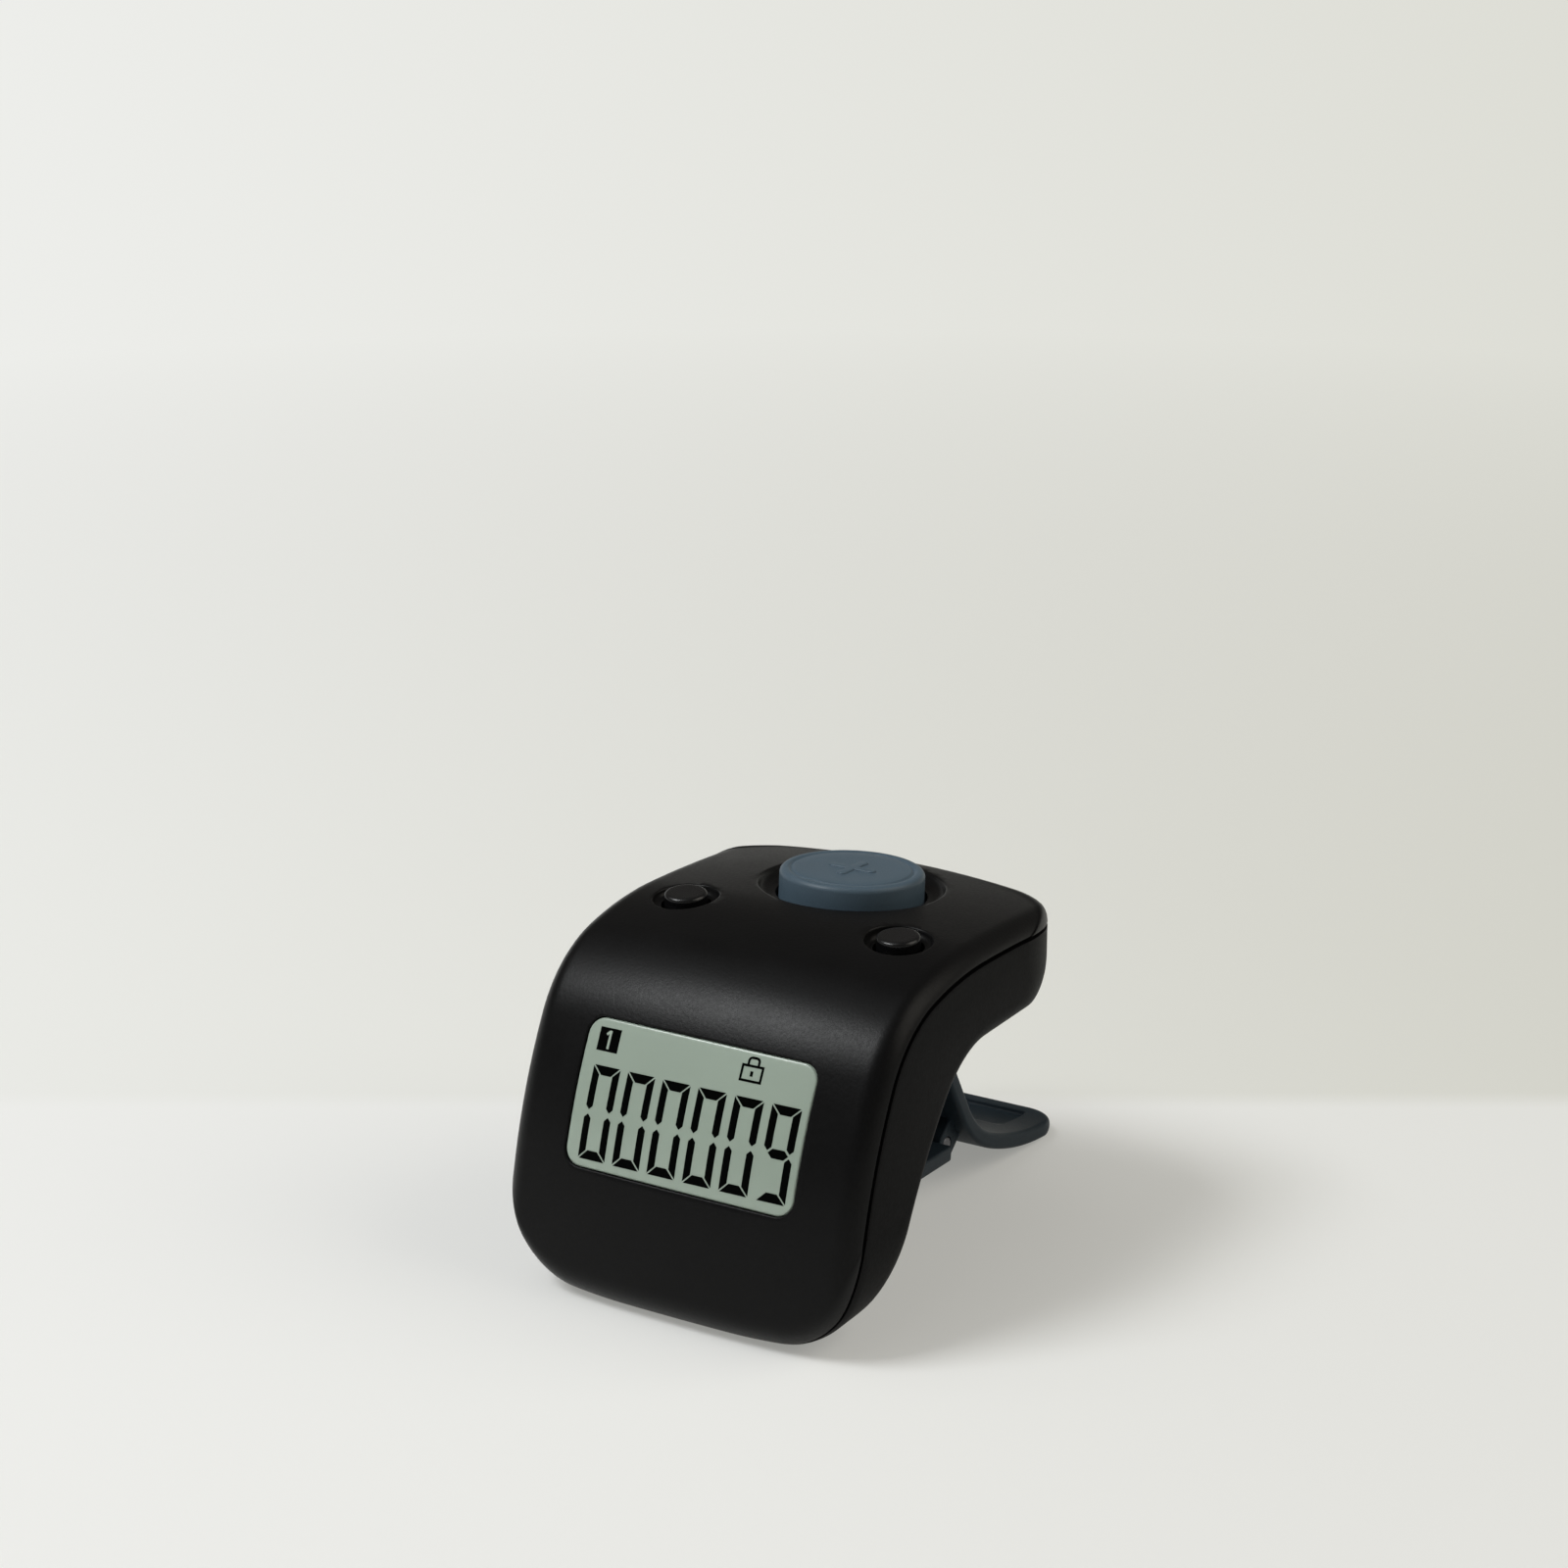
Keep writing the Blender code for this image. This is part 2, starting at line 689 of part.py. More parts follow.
def clip_line():
    """Centre line of the clip from the end of the tab to the top of the strip, with the arcs' centres."""
    tip = Vector((CLIP_REACH, CLIP_THICKNESS / 2 - DISPLAY_HEIGHT))
    tab = arc_points(tip, math.pi, TAB_RADIUS, -TAB_TURN, 7)
    curl = arc_points(tab[-1][0], tab[-1][1], CURL_RADIUS, -CURL_TURN, 8)
    end, heading = curl[-1]
    strip = [(end + along(heading) * STRIP_LENGTH, heading)]
    tab_centre = tip + right_of(math.pi) * TAB_RADIUS
    curl_centre = tab[-1][0] + right_of(tab[-1][1]) * CURL_RADIUS
    return [(tip, math.pi)] + tab + curl + strip, tab_centre, curl_centre


def hinge_point():
    """Where the pin's axis crosses the section, off the outer side of the curl."""
    centre = clip_line()[2]
    heading = math.pi - TAB_TURN - HINGE_TURN
    return centre - right_of(heading) * (CURL_RADIUS + HINGE_STAND_OFF)


def root_point():
    """Where the arm's centre line meets the back of the leg, and the way out of the leg there."""
    centre = calf_arc()[0]
    start = hinge_point()
    ahead = along(math.pi - ARM_SLOPE)
    offset = start - centre
    half = offset.dot(ahead)
    length = -half + math.sqrt(half * half - offset.length_squared + CALF_RADIUS**2)
    point = start + ahead * length
    inward = (centre - point).normalized()
    return point, math.atan2(inward.y, inward.x)


# Pieces: casing


def screw_cutters(parent, group):
    """Holes for the case screws: pilots for the front shell, or clear holes and counterbores for the back."""
    parts = []
    for index, (frame, depth) in enumerate(case_screw_places()):
        seat = case_screw_seat(depth)
        clear = SCREW_RADIUS + SCREW_GAP
        head = SCREW_HEAD_RADIUS + SLIDE_GAP
        if group == "front":
            low = -BOSS_MEET_DEPTH - MM
            high = case_screw_length(depth) + SLIDE_GAP - seat
            part = rod(f"pilot_{index}", clear, low, high, SCREW_STEPS, parent, frame)
        else:
            low = -depth - CUT_OVERRUN
            high = MM - BOSS_MEET_DEPTH
            profile = [(0.0, low), (head, low), (head, -seat), (clear, -seat), (clear, high), (0.0, high)]
            part = turned(f"clear_{index}", profile, SCREW_STEPS, parent, frame)
        parts.append(part)
    return cutter(join(f"{group}_screw_holes", parts))


def case_screw_seat(depth):
    """Depth of the seat under a case screw's head, below the surface of the front shell."""
    return depth - SCREW_HEAD_HEIGHT - SCREW_SINK


def case_screw_length(depth):
    """Length of a case screw under its head, so that it ends well inside the front boss."""
    return case_screw_seat(depth) - WALL - SCREW_END_COVER


def front_shell(parent):
    """Outer shell: a crowned plate with the display landing, the screw bosses and the wells."""
    shell = body_block("front_cover", 0.0, EDGE_RADIUS, parent)
    display = surface_frame(0.0)
    pads = [
        prism(
            "landing",
            rectangle(WINDOW_WIDTH + 2 * LANDING_MARGIN, WINDOW_HEIGHT + 2 * LANDING_MARGIN),
            -LANDING_DEPTH,
            CUT_OVERRUN,
            parent,
            display,
        )
    ]
    for index, (frame, depth) in enumerate(case_screw_places()):
        boss = rod(f"boss_{index}", BOSS_RADIUS, -BOSS_MEET_DEPTH, CUT_OVERRUN, SMALL_STEPS, parent, frame)
        pads.append(boss)
    deep_pads = cutter(join("front_pads", pads))
    region = carve(front_band("front_region", PART_DEPTH, parent), deep_pads, "UNION")

    collars = [
        rod(
            "collar",
            COUNT_WELL_RADIUS + WALL,
            -COUNT_WELL_DEPTH - COUNT_WELL_FLOOR,
            CUT_OVERRUN,
            ROUND_STEPS,
            parent,
            surface_frame(COUNT_PLACE),
        )
    ]
    for side in (-SIDE_SPACING, SIDE_SPACING):
        frame = surface_frame(SIDE_PLACE, side)
        radius = SIDE_WELL_RADIUS + WALL / 2
        low = -SIDE_WELL_DEPTH - SIDE_WELL_FLOOR
        collars.append(rod("collar", radius, low, CUT_OVERRUN, SMALL_STEPS, parent, frame))
    well_pads = cutter(join("well_pads", collars))
    hollow = cutter(body_block("front_hollow", WALL, INNER_EDGE_RADIUS, parent))
    carve(hollow, deep_pads, "DIFFERENCE")
    carve(hollow, well_pads, "DIFFERENCE")

    opening = rounded_rectangle(WINDOW_WIDTH, WINDOW_HEIGHT, WINDOW_CORNER)
    window_low = -LANDING_DEPTH - CUT_OVERRUN
    window = cutter(prism("window_opening", opening, window_low, CUT_OVERRUN, parent, display))
    frame = surface_frame(COUNT_PLACE)
    wells = [well(COUNT_RADIUS, COUNT_WELL_RADIUS, COUNT_WELL_DEPTH, ROUND_STEPS, parent, frame)]
    for side in (-SIDE_SPACING, SIDE_SPACING):
        frame = surface_frame(SIDE_PLACE, side)
        wells.append(well(SIDE_RADIUS, SIDE_WELL_RADIUS, SIDE_WELL_DEPTH, SMALL_STEPS, parent, frame))
    wells = cutter(join("wells", wells))

    carve(shell, region, "INTERSECT")
    carve(shell, hollow, "DIFFERENCE")
    carve(shell, window, "DIFFERENCE")
    carve(shell, wells, "DIFFERENCE")
    carve(shell, screw_cutters(parent, "front"), "DIFFERENCE")
    return piece(shell, "black_plastic")


def well(key_radius, rim_radius, depth, steps, parent, frame):
    """Dished recess round a key, with the hole that the key slides in."""
    hole = key_radius + SLIDE_GAP
    floor = hole + (rim_radius - hole) * WELL_FLOOR_SHARE
    low = -depth - CUT_OVERRUN
    profile = [(0.0, low), (hole, low), (hole, -depth)]
    for step in range(ARC_STEPS + 1):
        angle = math.pi / 2 * step / ARC_STEPS
        radius = floor + (rim_radius - floor) * math.sin(angle)
        profile.append((radius, -depth * math.cos(angle)))
    profile += [(rim_radius, CUT_OVERRUN), (0.0, CUT_OVERRUN)]
    return turned("well", profile, steps, parent, frame)


def rear_shell(parent):
    """Inner shell: the deep tub with the finger saddle, the cell pocket and the screw bosses."""
    shell = body_block("rear_cover", 0.0, EDGE_RADIUS, parent)
    hollow = cutter(body_block("rear_hollow", WALL, INNER_EDGE_RADIUS, parent))
    bosses = []
    for index, (frame, depth) in enumerate(case_screw_places()):
        low = -depth - CUT_OVERRUN
        high = -BOSS_MEET_DEPTH - SLIDE_GAP
        bosses.append(rod(f"boss_{index}", BOSS_RADIUS, low, high, SMALL_STEPS, parent, frame))
    carve(hollow, cutter(join("rear_bosses", bosses)), "DIFFERENCE")

    cell_frame = Matrix.Translation((0.0, cell_place(), cell_top()))
    pocket_radius = CELL_RADIUS + CELL_GAP
    pocket_top = CONTACT_THICKNESS + SEAT_GAP
    low = underside() - cell_top() - CUT_OVERRUN
    tower_radius = pocket_radius + POCKET_WALL
    tower = cutter(rod("cell_tower", tower_radius, low, pocket_top, ROUND_STEPS, parent, cell_frame))
    boss_high = cell_top() + pocket_top - underside()
    door_boss = cutter(
        rod("door_boss", DOOR_BOSS_RADIUS, -CUT_OVERRUN, boss_high, SMALL_STEPS, parent, door_screw_frame())
    )
    carve(hollow, tower, "DIFFERENCE")
    carve(hollow, door_boss, "DIFFERENCE")

    bore = cutter(rod("cell_bore", pocket_radius, low, pocket_top + MM, ROUND_STEPS, parent, cell_frame))
    notch_middle = (-pocket_radius - POCKET_WALL / 2, 0.0)
    notch_outline = rectangle(NOTCH_WIDTH, CONTACT_WIDTH + 2 * SLIDE_GAP, notch_middle)
    notch = cutter(prism("contact_notch", notch_outline, -NOTCH_DEPTH, pocket_top + MM, parent, cell_frame))
    door_frame = Matrix.Translation((DOOR_OFFSET, cell_place(), underside()))
    recess_outline = rounded_rectangle(
        DOOR_WIDTH + 2 * CELL_GAP, DOOR_LENGTH + 2 * CELL_GAP, DOOR_CORNER + CELL_GAP
    )
    recess_high = DOOR_THICKNESS + SEAT_GAP
    recess = cutter(prism("door_recess", recess_outline, -CUT_OVERRUN, recess_high, parent, door_frame))
    slot_outline = rectangle(
        2 * TONGUE_LENGTH + 2 * CELL_GAP, TONGUE_WIDTH + 2 * CELL_GAP, (-DOOR_WIDTH / 2, 0.0)
    )
    slot_low = DOOR_THICKNESS / 2 - SEAT_GAP
    slot = cutter(prism("tongue_slot", slot_outline, slot_low, recess_high, parent, door_frame))
    clear = SCREW_RADIUS + SCREW_GAP
    pilot_high = DOOR_SCREW_LENGTH + SEAT_GAP + SLIDE_GAP
    door_pilot = cutter(
        rod("door_pilot", clear, -CUT_OVERRUN, pilot_high, SCREW_STEPS, parent, door_screw_frame())
    )
    root_holes = []
    for side in (-ROOT_SCREW_SPACING, ROOT_SCREW_SPACING):
        frame = root_frame(side) @ Matrix.Rotation(-math.pi / 2, 4, "X")
        root_holes.append(rod("root_hole", clear, -2 * WALL, WALL, SCREW_STEPS, parent, frame))

    carve(shell, front_band("parting", PART_DEPTH + PART_GAP, parent), "DIFFERENCE")
    carve(shell, hollow, "DIFFERENCE")
    carve(shell, bore, "DIFFERENCE")
    carve(shell, notch, "DIFFERENCE")
    carve(shell, recess, "DIFFERENCE")
    carve(shell, slot, "DIFFERENCE")
    carve(shell, door_pilot, "DIFFERENCE")
    carve(shell, screw_cutters(parent, "rear"), "DIFFERENCE")
    carve(shell, cutter(join("root_holes", root_holes)), "DIFFERENCE")
    return piece(shell, "black_plastic")


def battery_door(parent):
    """Door over the coin cell, with a tongue at one end and a countersunk screw at the other."""
    frame = Matrix.Translation((DOOR_OFFSET, cell_place(), underside()))
    outline = rounded_rectangle(DOOR_WIDTH, DOOR_LENGTH, DOOR_CORNER)
    door = prism("battery_door", outline, 0.0, DOOR_THICKNESS, parent, frame)
    tongue_outline = rectangle(2 * TONGUE_LENGTH, TONGUE_WIDTH, (-DOOR_WIDTH / 2, 0.0))
    tongue = cutter(prism("tongue", tongue_outline, DOOR_THICKNESS / 2, DOOR_THICKNESS, parent, frame))
    sink = [
        (0.0, -MM),
        (SCREW_HEAD_RADIUS + SCREW_GAP + MM, -MM),
        (SCREW_HEAD_RADIUS + SCREW_GAP, 0.0),
        (SCREW_RADIUS + SCREW_GAP, DOOR_THICKNESS * DOOR_SINK_SHARE),
        (SCREW_RADIUS + SCREW_GAP, 2 * DOOR_THICKNESS),
        (0.0, 2 * DOOR_THICKNESS),
    ]
    hole = cutter(turned("door_sink", sink, SCREW_STEPS, parent, door_screw_frame()))
    combine(door, tongue, "UNION")
    combine(door, hole, "DIFFERENCE")
    return piece(door, "black_plastic", smooth=False)


def door_screw(parent):
    """Countersunk screw, level with the door."""
    profile = [
        (0.0, DOOR_SCREW_SINK),
        (SCREW_HEAD_RADIUS - SCREW_GAP, DOOR_SCREW_SINK),
        (SCREW_RADIUS, DOOR_THICKNESS * DOOR_SINK_SHARE + DOOR_SCREW_SINK),
        (SCREW_RADIUS, DOOR_SCREW_LENGTH - SCREW_RADIUS / 2),
        (SCREW_RADIUS / 2, DOOR_SCREW_LENGTH),
        (0.0, DOOR_SCREW_LENGTH),
    ]
    screw = turned("door_screw", profile, SCREW_STEPS, parent, door_screw_frame())
    return piece(screw, "steel", smooth=False)


def pan_screw(name, length, parent, frame):
    """Pan-head screw whose head seats at the frame's origin and whose shank runs along +Z."""
    head = SCREW_HEAD_HEIGHT
    profile = [
        (0.0, -head),
        (SCREW_HEAD_RADIUS * 0.6, -head),
        (SCREW_HEAD_RADIUS * 0.9, -head * 0.75),
        (SCREW_HEAD_RADIUS, -head * 0.4),
        (SCREW_HEAD_RADIUS, 0.0),
        (SCREW_RADIUS, 0.0),
        (SCREW_RADIUS, length - SCREW_RADIUS / 2),
        (SCREW_RADIUS / 2, length),
        (0.0, length),
    ]
    return piece(turned(name, profile, SCREW_STEPS, parent, frame), "steel", smooth=False)


def case_screws(parent):
    """The four screws that hold the two shells together."""
    for index, (frame, depth) in enumerate(case_screw_places()):
        place = frame @ Matrix.Translation((0.0, 0.0, -case_screw_seat(depth) - SEAT_GAP))
        pan_screw(f"case_screw_{index + 1}", case_screw_length(depth), parent, place)


# Pieces: display


def display_window(parent):
    """Clear lens: curved as the body is, with a flange behind the shell."""
    frame = surface_frame(0.0)
    back = LANDING_DEPTH + SEAT_GAP
    gap = 2 * WINDOW_GAP
    outline = rounded_rectangle(WINDOW_WIDTH - gap, WINDOW_HEIGHT - gap, WINDOW_CORNER - WINDOW_GAP)
    lens = prism("lcd_window", outline, -back - LENS_FLANGE_THICKNESS / 2, CUT_OVERRUN, parent, frame)
    skin = cutter(body_block("lens_skin", LENS_SINK, EDGE_RADIUS, parent))
    flange_outline = rectangle(WINDOW_WIDTH + 2 * LENS_FLANGE, WINDOW_HEIGHT + 2 * LENS_FLANGE)
    flange = cutter(prism("lens_flange", flange_outline, -back - LENS_FLANGE_THICKNESS, -back, parent, frame))
    combine(lens, skin, "INTERSECT")
    combine(lens, flange, "UNION")
    return piece(lens, "display_lens")


def display_depths():
    """Depths of the fronts of the glass, the board and the chip under the outer surface."""
    glass = LANDING_DEPTH + LENS_FLANGE_THICKNESS + 2 * SEAT_GAP
    board = glass + PANEL_THICKNESS + ZEBRA_HEIGHT + 2 * SEAT_GAP
    chip = board + BOARD_THICKNESS + SEAT_GAP
    return glass, board, chip


def display_stack(parent):
    """Glass, frame, rubber connector, board and chip behind the lens."""
    frame = surface_frame(0.0)
    glass, board, chip = display_depths()
    width = WINDOW_WIDTH + 2 * PANEL_MARGIN
    height = WINDOW_HEIGHT + 2 * PANEL_MARGIN
    panel = prism("lcd_panel", rectangle(width, height), -glass - PANEL_THICKNESS, -glass, parent, frame)
    piece(panel, "display_glass", smooth=False)

    inner = rectangle(width + 2 * WINDOW_GAP, height + 2 * WINDOW_GAP)
    wall = 2 * (WINDOW_GAP + FRAME_WALL)
    ring_low = -board + SEAT_GAP
    ring = prism("lcd_frame", rectangle(width + wall, height + wall), ring_low, -glass, parent, frame)
    opening = cutter(prism("frame_opening", inner, ring_low - MM, MM - glass, parent, frame))
    combine(ring, opening, "DIFFERENCE")
    piece(ring, "black_plastic", smooth=False)

    low_edge = ZEBRA_DEPTH / 2 - height / 2 + ZEBRA_INSET
    zebra_low = -glass - PANEL_THICKNESS - SEAT_GAP - ZEBRA_HEIGHT
    zebra = prism(
        "zebra_strip",
        rectangle(ZEBRA_WIDTH, ZEBRA_DEPTH, (0.0, low_edge)),
        zebra_low,
        zebra_low + ZEBRA_HEIGHT,
        parent,
        frame,
    )
    piece(zebra, "zebra_rubber", smooth=False)

    card_outline = rectangle(width, height + wall)
    card = prism("display_board", card_outline, -board - BOARD_THICKNESS, -board, parent, frame)
    piece(card, "board_green", smooth=False)
    square = rectangle(CHIP_SIZE, CHIP_SIZE)
    die = prism("controller_chip", square, -chip - CHIP_THICKNESS, -chip, parent, frame)
    piece(die, "chip_black", smooth=False)


def ribbon(parent):
    """Flat cable from the back of the display board, round a bend and under the button board."""
    board = display_depths()[1]
    level = board_top() - BOARD_THICKNESS - SEAT_GAP - RIBBON_THICKNESS / 2
    frame = surface_frame(0.0)
    top_edge = WINDOW_HEIGHT / 2 + PANEL_MARGIN
    depth = board + BOARD_THICKNESS + SEAT_GAP + RIBBON_THICKNESS / 2
    start = frame @ Vector((0.0, top_edge - RIBBON_LAP, -depth))
    start = Vector((start.y, start.z))
    rise = RIBBON_BEND * (1 - math.cos(LEG_LEAN))
    length = (level - start.y - rise) / math.sin(LEG_LEAN)
    line = [(start, LEG_LEAN), (start + along(LEG_LEAN) * length, LEG_LEAN)]
    line += arc_points(line[-1][0], LEG_LEAN, RIBBON_BEND, -LEG_LEAN, 8)
    line.append((Vector((BOARD_FRONT + RIBBON_LAP, level)), 0.0))
    half = RIBBON_THICKNESS / 2
    outline = [point - right_of(heading) * half for point, heading in line]
    outline += [point + right_of(heading) * half for point, heading in reversed(line)]
    return piece(extrusion("ribbon_cable", outline, RIBBON_WIDTH / 2, parent), "ribbon_amber", smooth=False)


# Pieces: keys and board


def key_profile(radius, rise, edge, well_depth, floor, ring=None):
    """Radius and height of a key, from under its flange up to its cap."""
    flange_top = -well_depth - floor - FLANGE_GAP
    flange_low = flange_top - FLANGE_THICKNESS
    profile = [
        (0.0, flange_low),
        (radius + KEY_LIP, flange_low),
        (radius + KEY_LIP, flange_top),
        (radius, flange_top),
        (radius, rise - edge),
    ]
    for step in range(1, 5):
        angle = math.pi / 2 * step / 4
        profile.append((radius - edge * (1 - math.cos(angle)), rise - edge * (1 - math.sin(angle))))
    if ring:
        for offset, depth in ((1.0, 0.0), (0.5, RING_DEPTH), (-0.5, RING_DEPTH), (-1.0, 0.0)):
            profile.append((ring + offset * RING_HALF_WIDTH, rise - depth))
    profile.append((0.0, rise))
    return profile


def keys(parent):
    """The count button and the two small buttons, each with its origin on its own slide axis."""
    profile = key_profile(
        COUNT_RADIUS, COUNT_RISE, COUNT_EDGE, COUNT_WELL_DEPTH, COUNT_WELL_FLOOR, COUNT_RING_RADIUS
    )
    button = turned("count_button", profile, ROUND_STEPS, parent, surface_frame(COUNT_PLACE))
    piece(button, "slate_plastic")
    profile = key_profile(SIDE_RADIUS, SIDE_RISE, SIDE_EDGE, SIDE_WELL_DEPTH, SIDE_WELL_FLOOR)
    for name, side in (("left_button", -SIDE_SPACING), ("right_button", SIDE_SPACING)):
        piece(turned(name, profile, SMALL_STEPS, parent, surface_frame(SIDE_PLACE, side)), "black_gloss")


def dome(name, radius, base, height, parent, frame):
    """Snap dome on a short base, seated just above the board."""
    profile = [(0.0, PRESS_GAP), (radius, PRESS_GAP), (radius, PRESS_GAP + base)]
    for step in range(1, 5):
        angle = math.pi / 2 * step / 4
        profile.append((radius * math.cos(angle), PRESS_GAP + base + height * math.sin(angle)))
    profile[-1] = (0.0, PRESS_GAP + base + height)
    return piece(turned(name, profile, SMALL_STEPS, parent, frame), "contact_metal")


def button_board(parent):
    """Board under the keys, with the three domes on it."""
    outline = [
        (-BOARD_WIDE, BOARD_FRONT),
        (BOARD_WIDE, BOARD_FRONT),
        (BOARD_WIDE, BOARD_SHOULDER),
        (BOARD_NARROW, BOARD_SHOULDER),
        (BOARD_NARROW, BOARD_BACK),
        (-BOARD_NARROW, BOARD_BACK),
        (-BOARD_NARROW, BOARD_SHOULDER),
        (-BOARD_WIDE, BOARD_SHOULDER),
    ]
    level = Matrix.Translation((0.0, 0.0, board_top()))
    board = prism("button_board", outline, -BOARD_THICKNESS, 0.0, parent, level)
    piece(board, "board_green", smooth=False)

    place = front_curve(COUNT_PLACE)[0].x
    frame = Matrix.Translation((0.0, place, board_top()))
    dome("count_switch", DOME_RADIUS, DOME_HEIGHT * 0.3, DOME_HEIGHT * 0.7, parent, frame)

    key = surface_frame(SIDE_PLACE, SIDE_SPACING)
    pressed = SIDE_WELL_DEPTH + SIDE_WELL_FLOOR + FLANGE_GAP + FLANGE_THICKNESS + SIDE_TRAVEL + PRESS_GAP
    contact = key @ Vector((0.0, 0.0, -pressed))
    tilt = SIDE_SWITCH_RADIUS * abs(key.col[1].z)
    height = contact.z - board_top() - PRESS_GAP - tilt * 0.5
    for name, side in (("left_switch", -SIDE_SPACING), ("right_switch", SIDE_SPACING)):
        frame = Matrix.Translation((side, contact.y, board_top()))
        dome(name, SIDE_SWITCH_RADIUS, height - SIDE_DOME_HEIGHT, SIDE_DOME_HEIGHT, parent, frame)


def power(parent):
    """Coin cell and its two contacts."""
    frame = Matrix.Translation((0.0, cell_place(), cell_top()))
    profile = [
        (0.0, -CELL_THICKNESS),
        (CELL_RADIUS - CELL_EDGE, -CELL_THICKNESS),
        (CELL_RADIUS, -CELL_THICKNESS + CELL_EDGE),
        (CELL_RADIUS, -CELL_CAP_RISE - CELL_SHOULDER),
        (CELL_CAP_RADIUS, -CELL_CAP_RISE),
        (CELL_CAP_RADIUS, 0.0),
        (0.0, 0.0),
    ]
    piece(turned("coin_cell", profile, ROUND_STEPS, parent, frame), "steel")

    upper = SEAT_GAP + CONTACT_THICKNESS
    leaf_outline = rounded_rectangle(LEAF_LENGTH, CONTACT_WIDTH, CONTACT_WIDTH * 0.45)
    leaf = prism("contact_negative", leaf_outline, SEAT_GAP, upper, parent, frame)
    piece(leaf, "contact_metal", smooth=False)

    touch = -CELL_RADIUS - SEAT_GAP
    foot = touch - CONTACT_REACH
    hook = [
        (touch, -CONTACT_DEPTH),
        (touch, upper),
        (foot, upper),
        (foot, upper - CONTACT_THICKNESS),
        (touch - CONTACT_THICKNESS, upper - CONTACT_THICKNESS),
        (touch - CONTACT_THICKNESS, -CONTACT_DEPTH),
    ]
    turn = frame @ Matrix.Rotation(math.pi / 2, 4, "X")
    strap = prism("contact_positive", hook, -CONTACT_WIDTH / 2, CONTACT_WIDTH / 2, parent, turn)
    piece(strap, "contact_metal", smooth=False)


# Pieces: clip


def clip_outline(side, edge):
    """Closed outline of the clip at a distance from its middle, set in by the rounding of its edge."""
    line = clip_line()[0]
    half = CLIP_THICKNESS / 2 - edge
    past = abs(side) - (CLIP_WIDTH / 2 - CLIP_CORNER)
    short = CLIP_CORNER - math.sqrt(CLIP_CORNER**2 - past**2) if past > 0 else 0.0
    nose = CLIP_THICKNESS / 2
    tip_heading = line[0][1]
    tip = line[0][0] + along(tip_heading) * (nose + short)
    spine = [(tip, tip_heading)] + line[3:-1]
    top_heading = line[-1][1]
    spine.append((line[-1][0] - along(top_heading) * nose, top_heading))
    upper = [point + right_of(heading) * half for point, heading in spine]
    lower = [point - right_of(heading) * half for point, heading in spine]

    def nose_points(centre, heading):
        """Half round end about a centre, from its right side round to its left."""
        angles = [math.pi / 2 - math.pi * step / 6 for step in range(1, 6)]
        ahead = along(heading) * half
        right = right_of(heading) * half
        return [centre + ahead * math.cos(angle) + right * math.sin(angle) for angle in angles]

    top_end = nose_points(spine[-1][0], top_heading)
    tip_end = nose_points(tip, tip_heading + math.pi)
    return upper + top_end + lower[::-1] + tip_end


def clip_lever(parent):
    """Strip, curl and thumb tab in one moulding, with two lugs; its origin is on the pin's axis."""
    places = [(0.0, 0.0), (CLIP_WIDTH / 2 - CLIP_CORNER, 0.0)]
    places += [(CLIP_WIDTH / 2 - CLIP_CORNER * share, 0.0) for share in TAB_SHARES]
    places += edge_places(CLIP_WIDTH / 2, CLIP_EDGE, 2)
    mirrored = [(-side, edge) for side, edge in reversed(places[1:])]
    rings = [(side, clip_outline(side, edge)) for side, edge in mirrored + places]
    hinge = hinge_point()
    origin = Vector((0.0, hinge.x, hinge.y))
    shifted = [(side, [point - hinge for point in ring]) for side, ring in rings]
    lever = loft("clip_lever", shifted, parent)
    lever.matrix_basis = Matrix.Translation(origin)

    reach = math.pi - TAB_TURN - HINGE_TURN
    lugs = []
    for side in (-1, 1):
        middle = side * (KNUCKLE_INNER + KNUCKLE_WIDTH + SLIDE_GAP + LUG_WIDTH / 2)
        frame = section_frame(hinge, reach - math.pi / 2, middle)
        lugs.append(extrusion("lug", eye_outline(HINGE_STAND_OFF), LUG_WIDTH / 2, parent, frame))
    lugs = cutter(join("lugs", lugs))
    bore = cutter(pin_bore("lever_bore", parent))
    turn_frame = section_frame(Vector((CLIP_REACH, CLIP_THICKNESS - DISPLAY_HEIGHT)), -TAB_TURN / 5)
    thumb_middle = (0.0, -THUMB_INSET - THUMB_LENGTH / 2)
    thumb_outline = rounded_rectangle(THUMB_WIDTH, THUMB_LENGTH, THUMB_CORNER, 3, thumb_middle)
    thumb = cutter(prism("thumb_recess", thumb_outline, -THUMB_DEPTH, 2 * CLIP_THICKNESS, parent, turn_frame))
    combine(lever, lugs, "UNION")
    combine(lever, bore, "DIFFERENCE")
    combine(lever, thumb, "DIFFERENCE")
    return piece(lever, "slate_plastic")


def eye_outline(length):
    """Outline of an eye: half round about the pin, then straight to a distance along Y."""
    points = []
    for step in range(13):
        angle = math.pi / 2 + math.pi * step / 12
        points.append((KNUCKLE_RADIUS * math.cos(angle), KNUCKLE_RADIUS * math.sin(angle)))
    return points + [(length, -KNUCKLE_RADIUS), (length, KNUCKLE_RADIUS)]


def pin_bore(name, parent):
    """Running bore for the pin, through every eye."""
    hinge = hinge_point()
    frame = Matrix.Translation((0.0, hinge.x, hinge.y)) @ Matrix.Rotation(math.pi / 2, 4, "Y")
    return rod(name, PIN_RADIUS + PIN_GAP, -CLIP_WIDTH, CLIP_WIDTH, SMALL_STEPS, parent, frame)


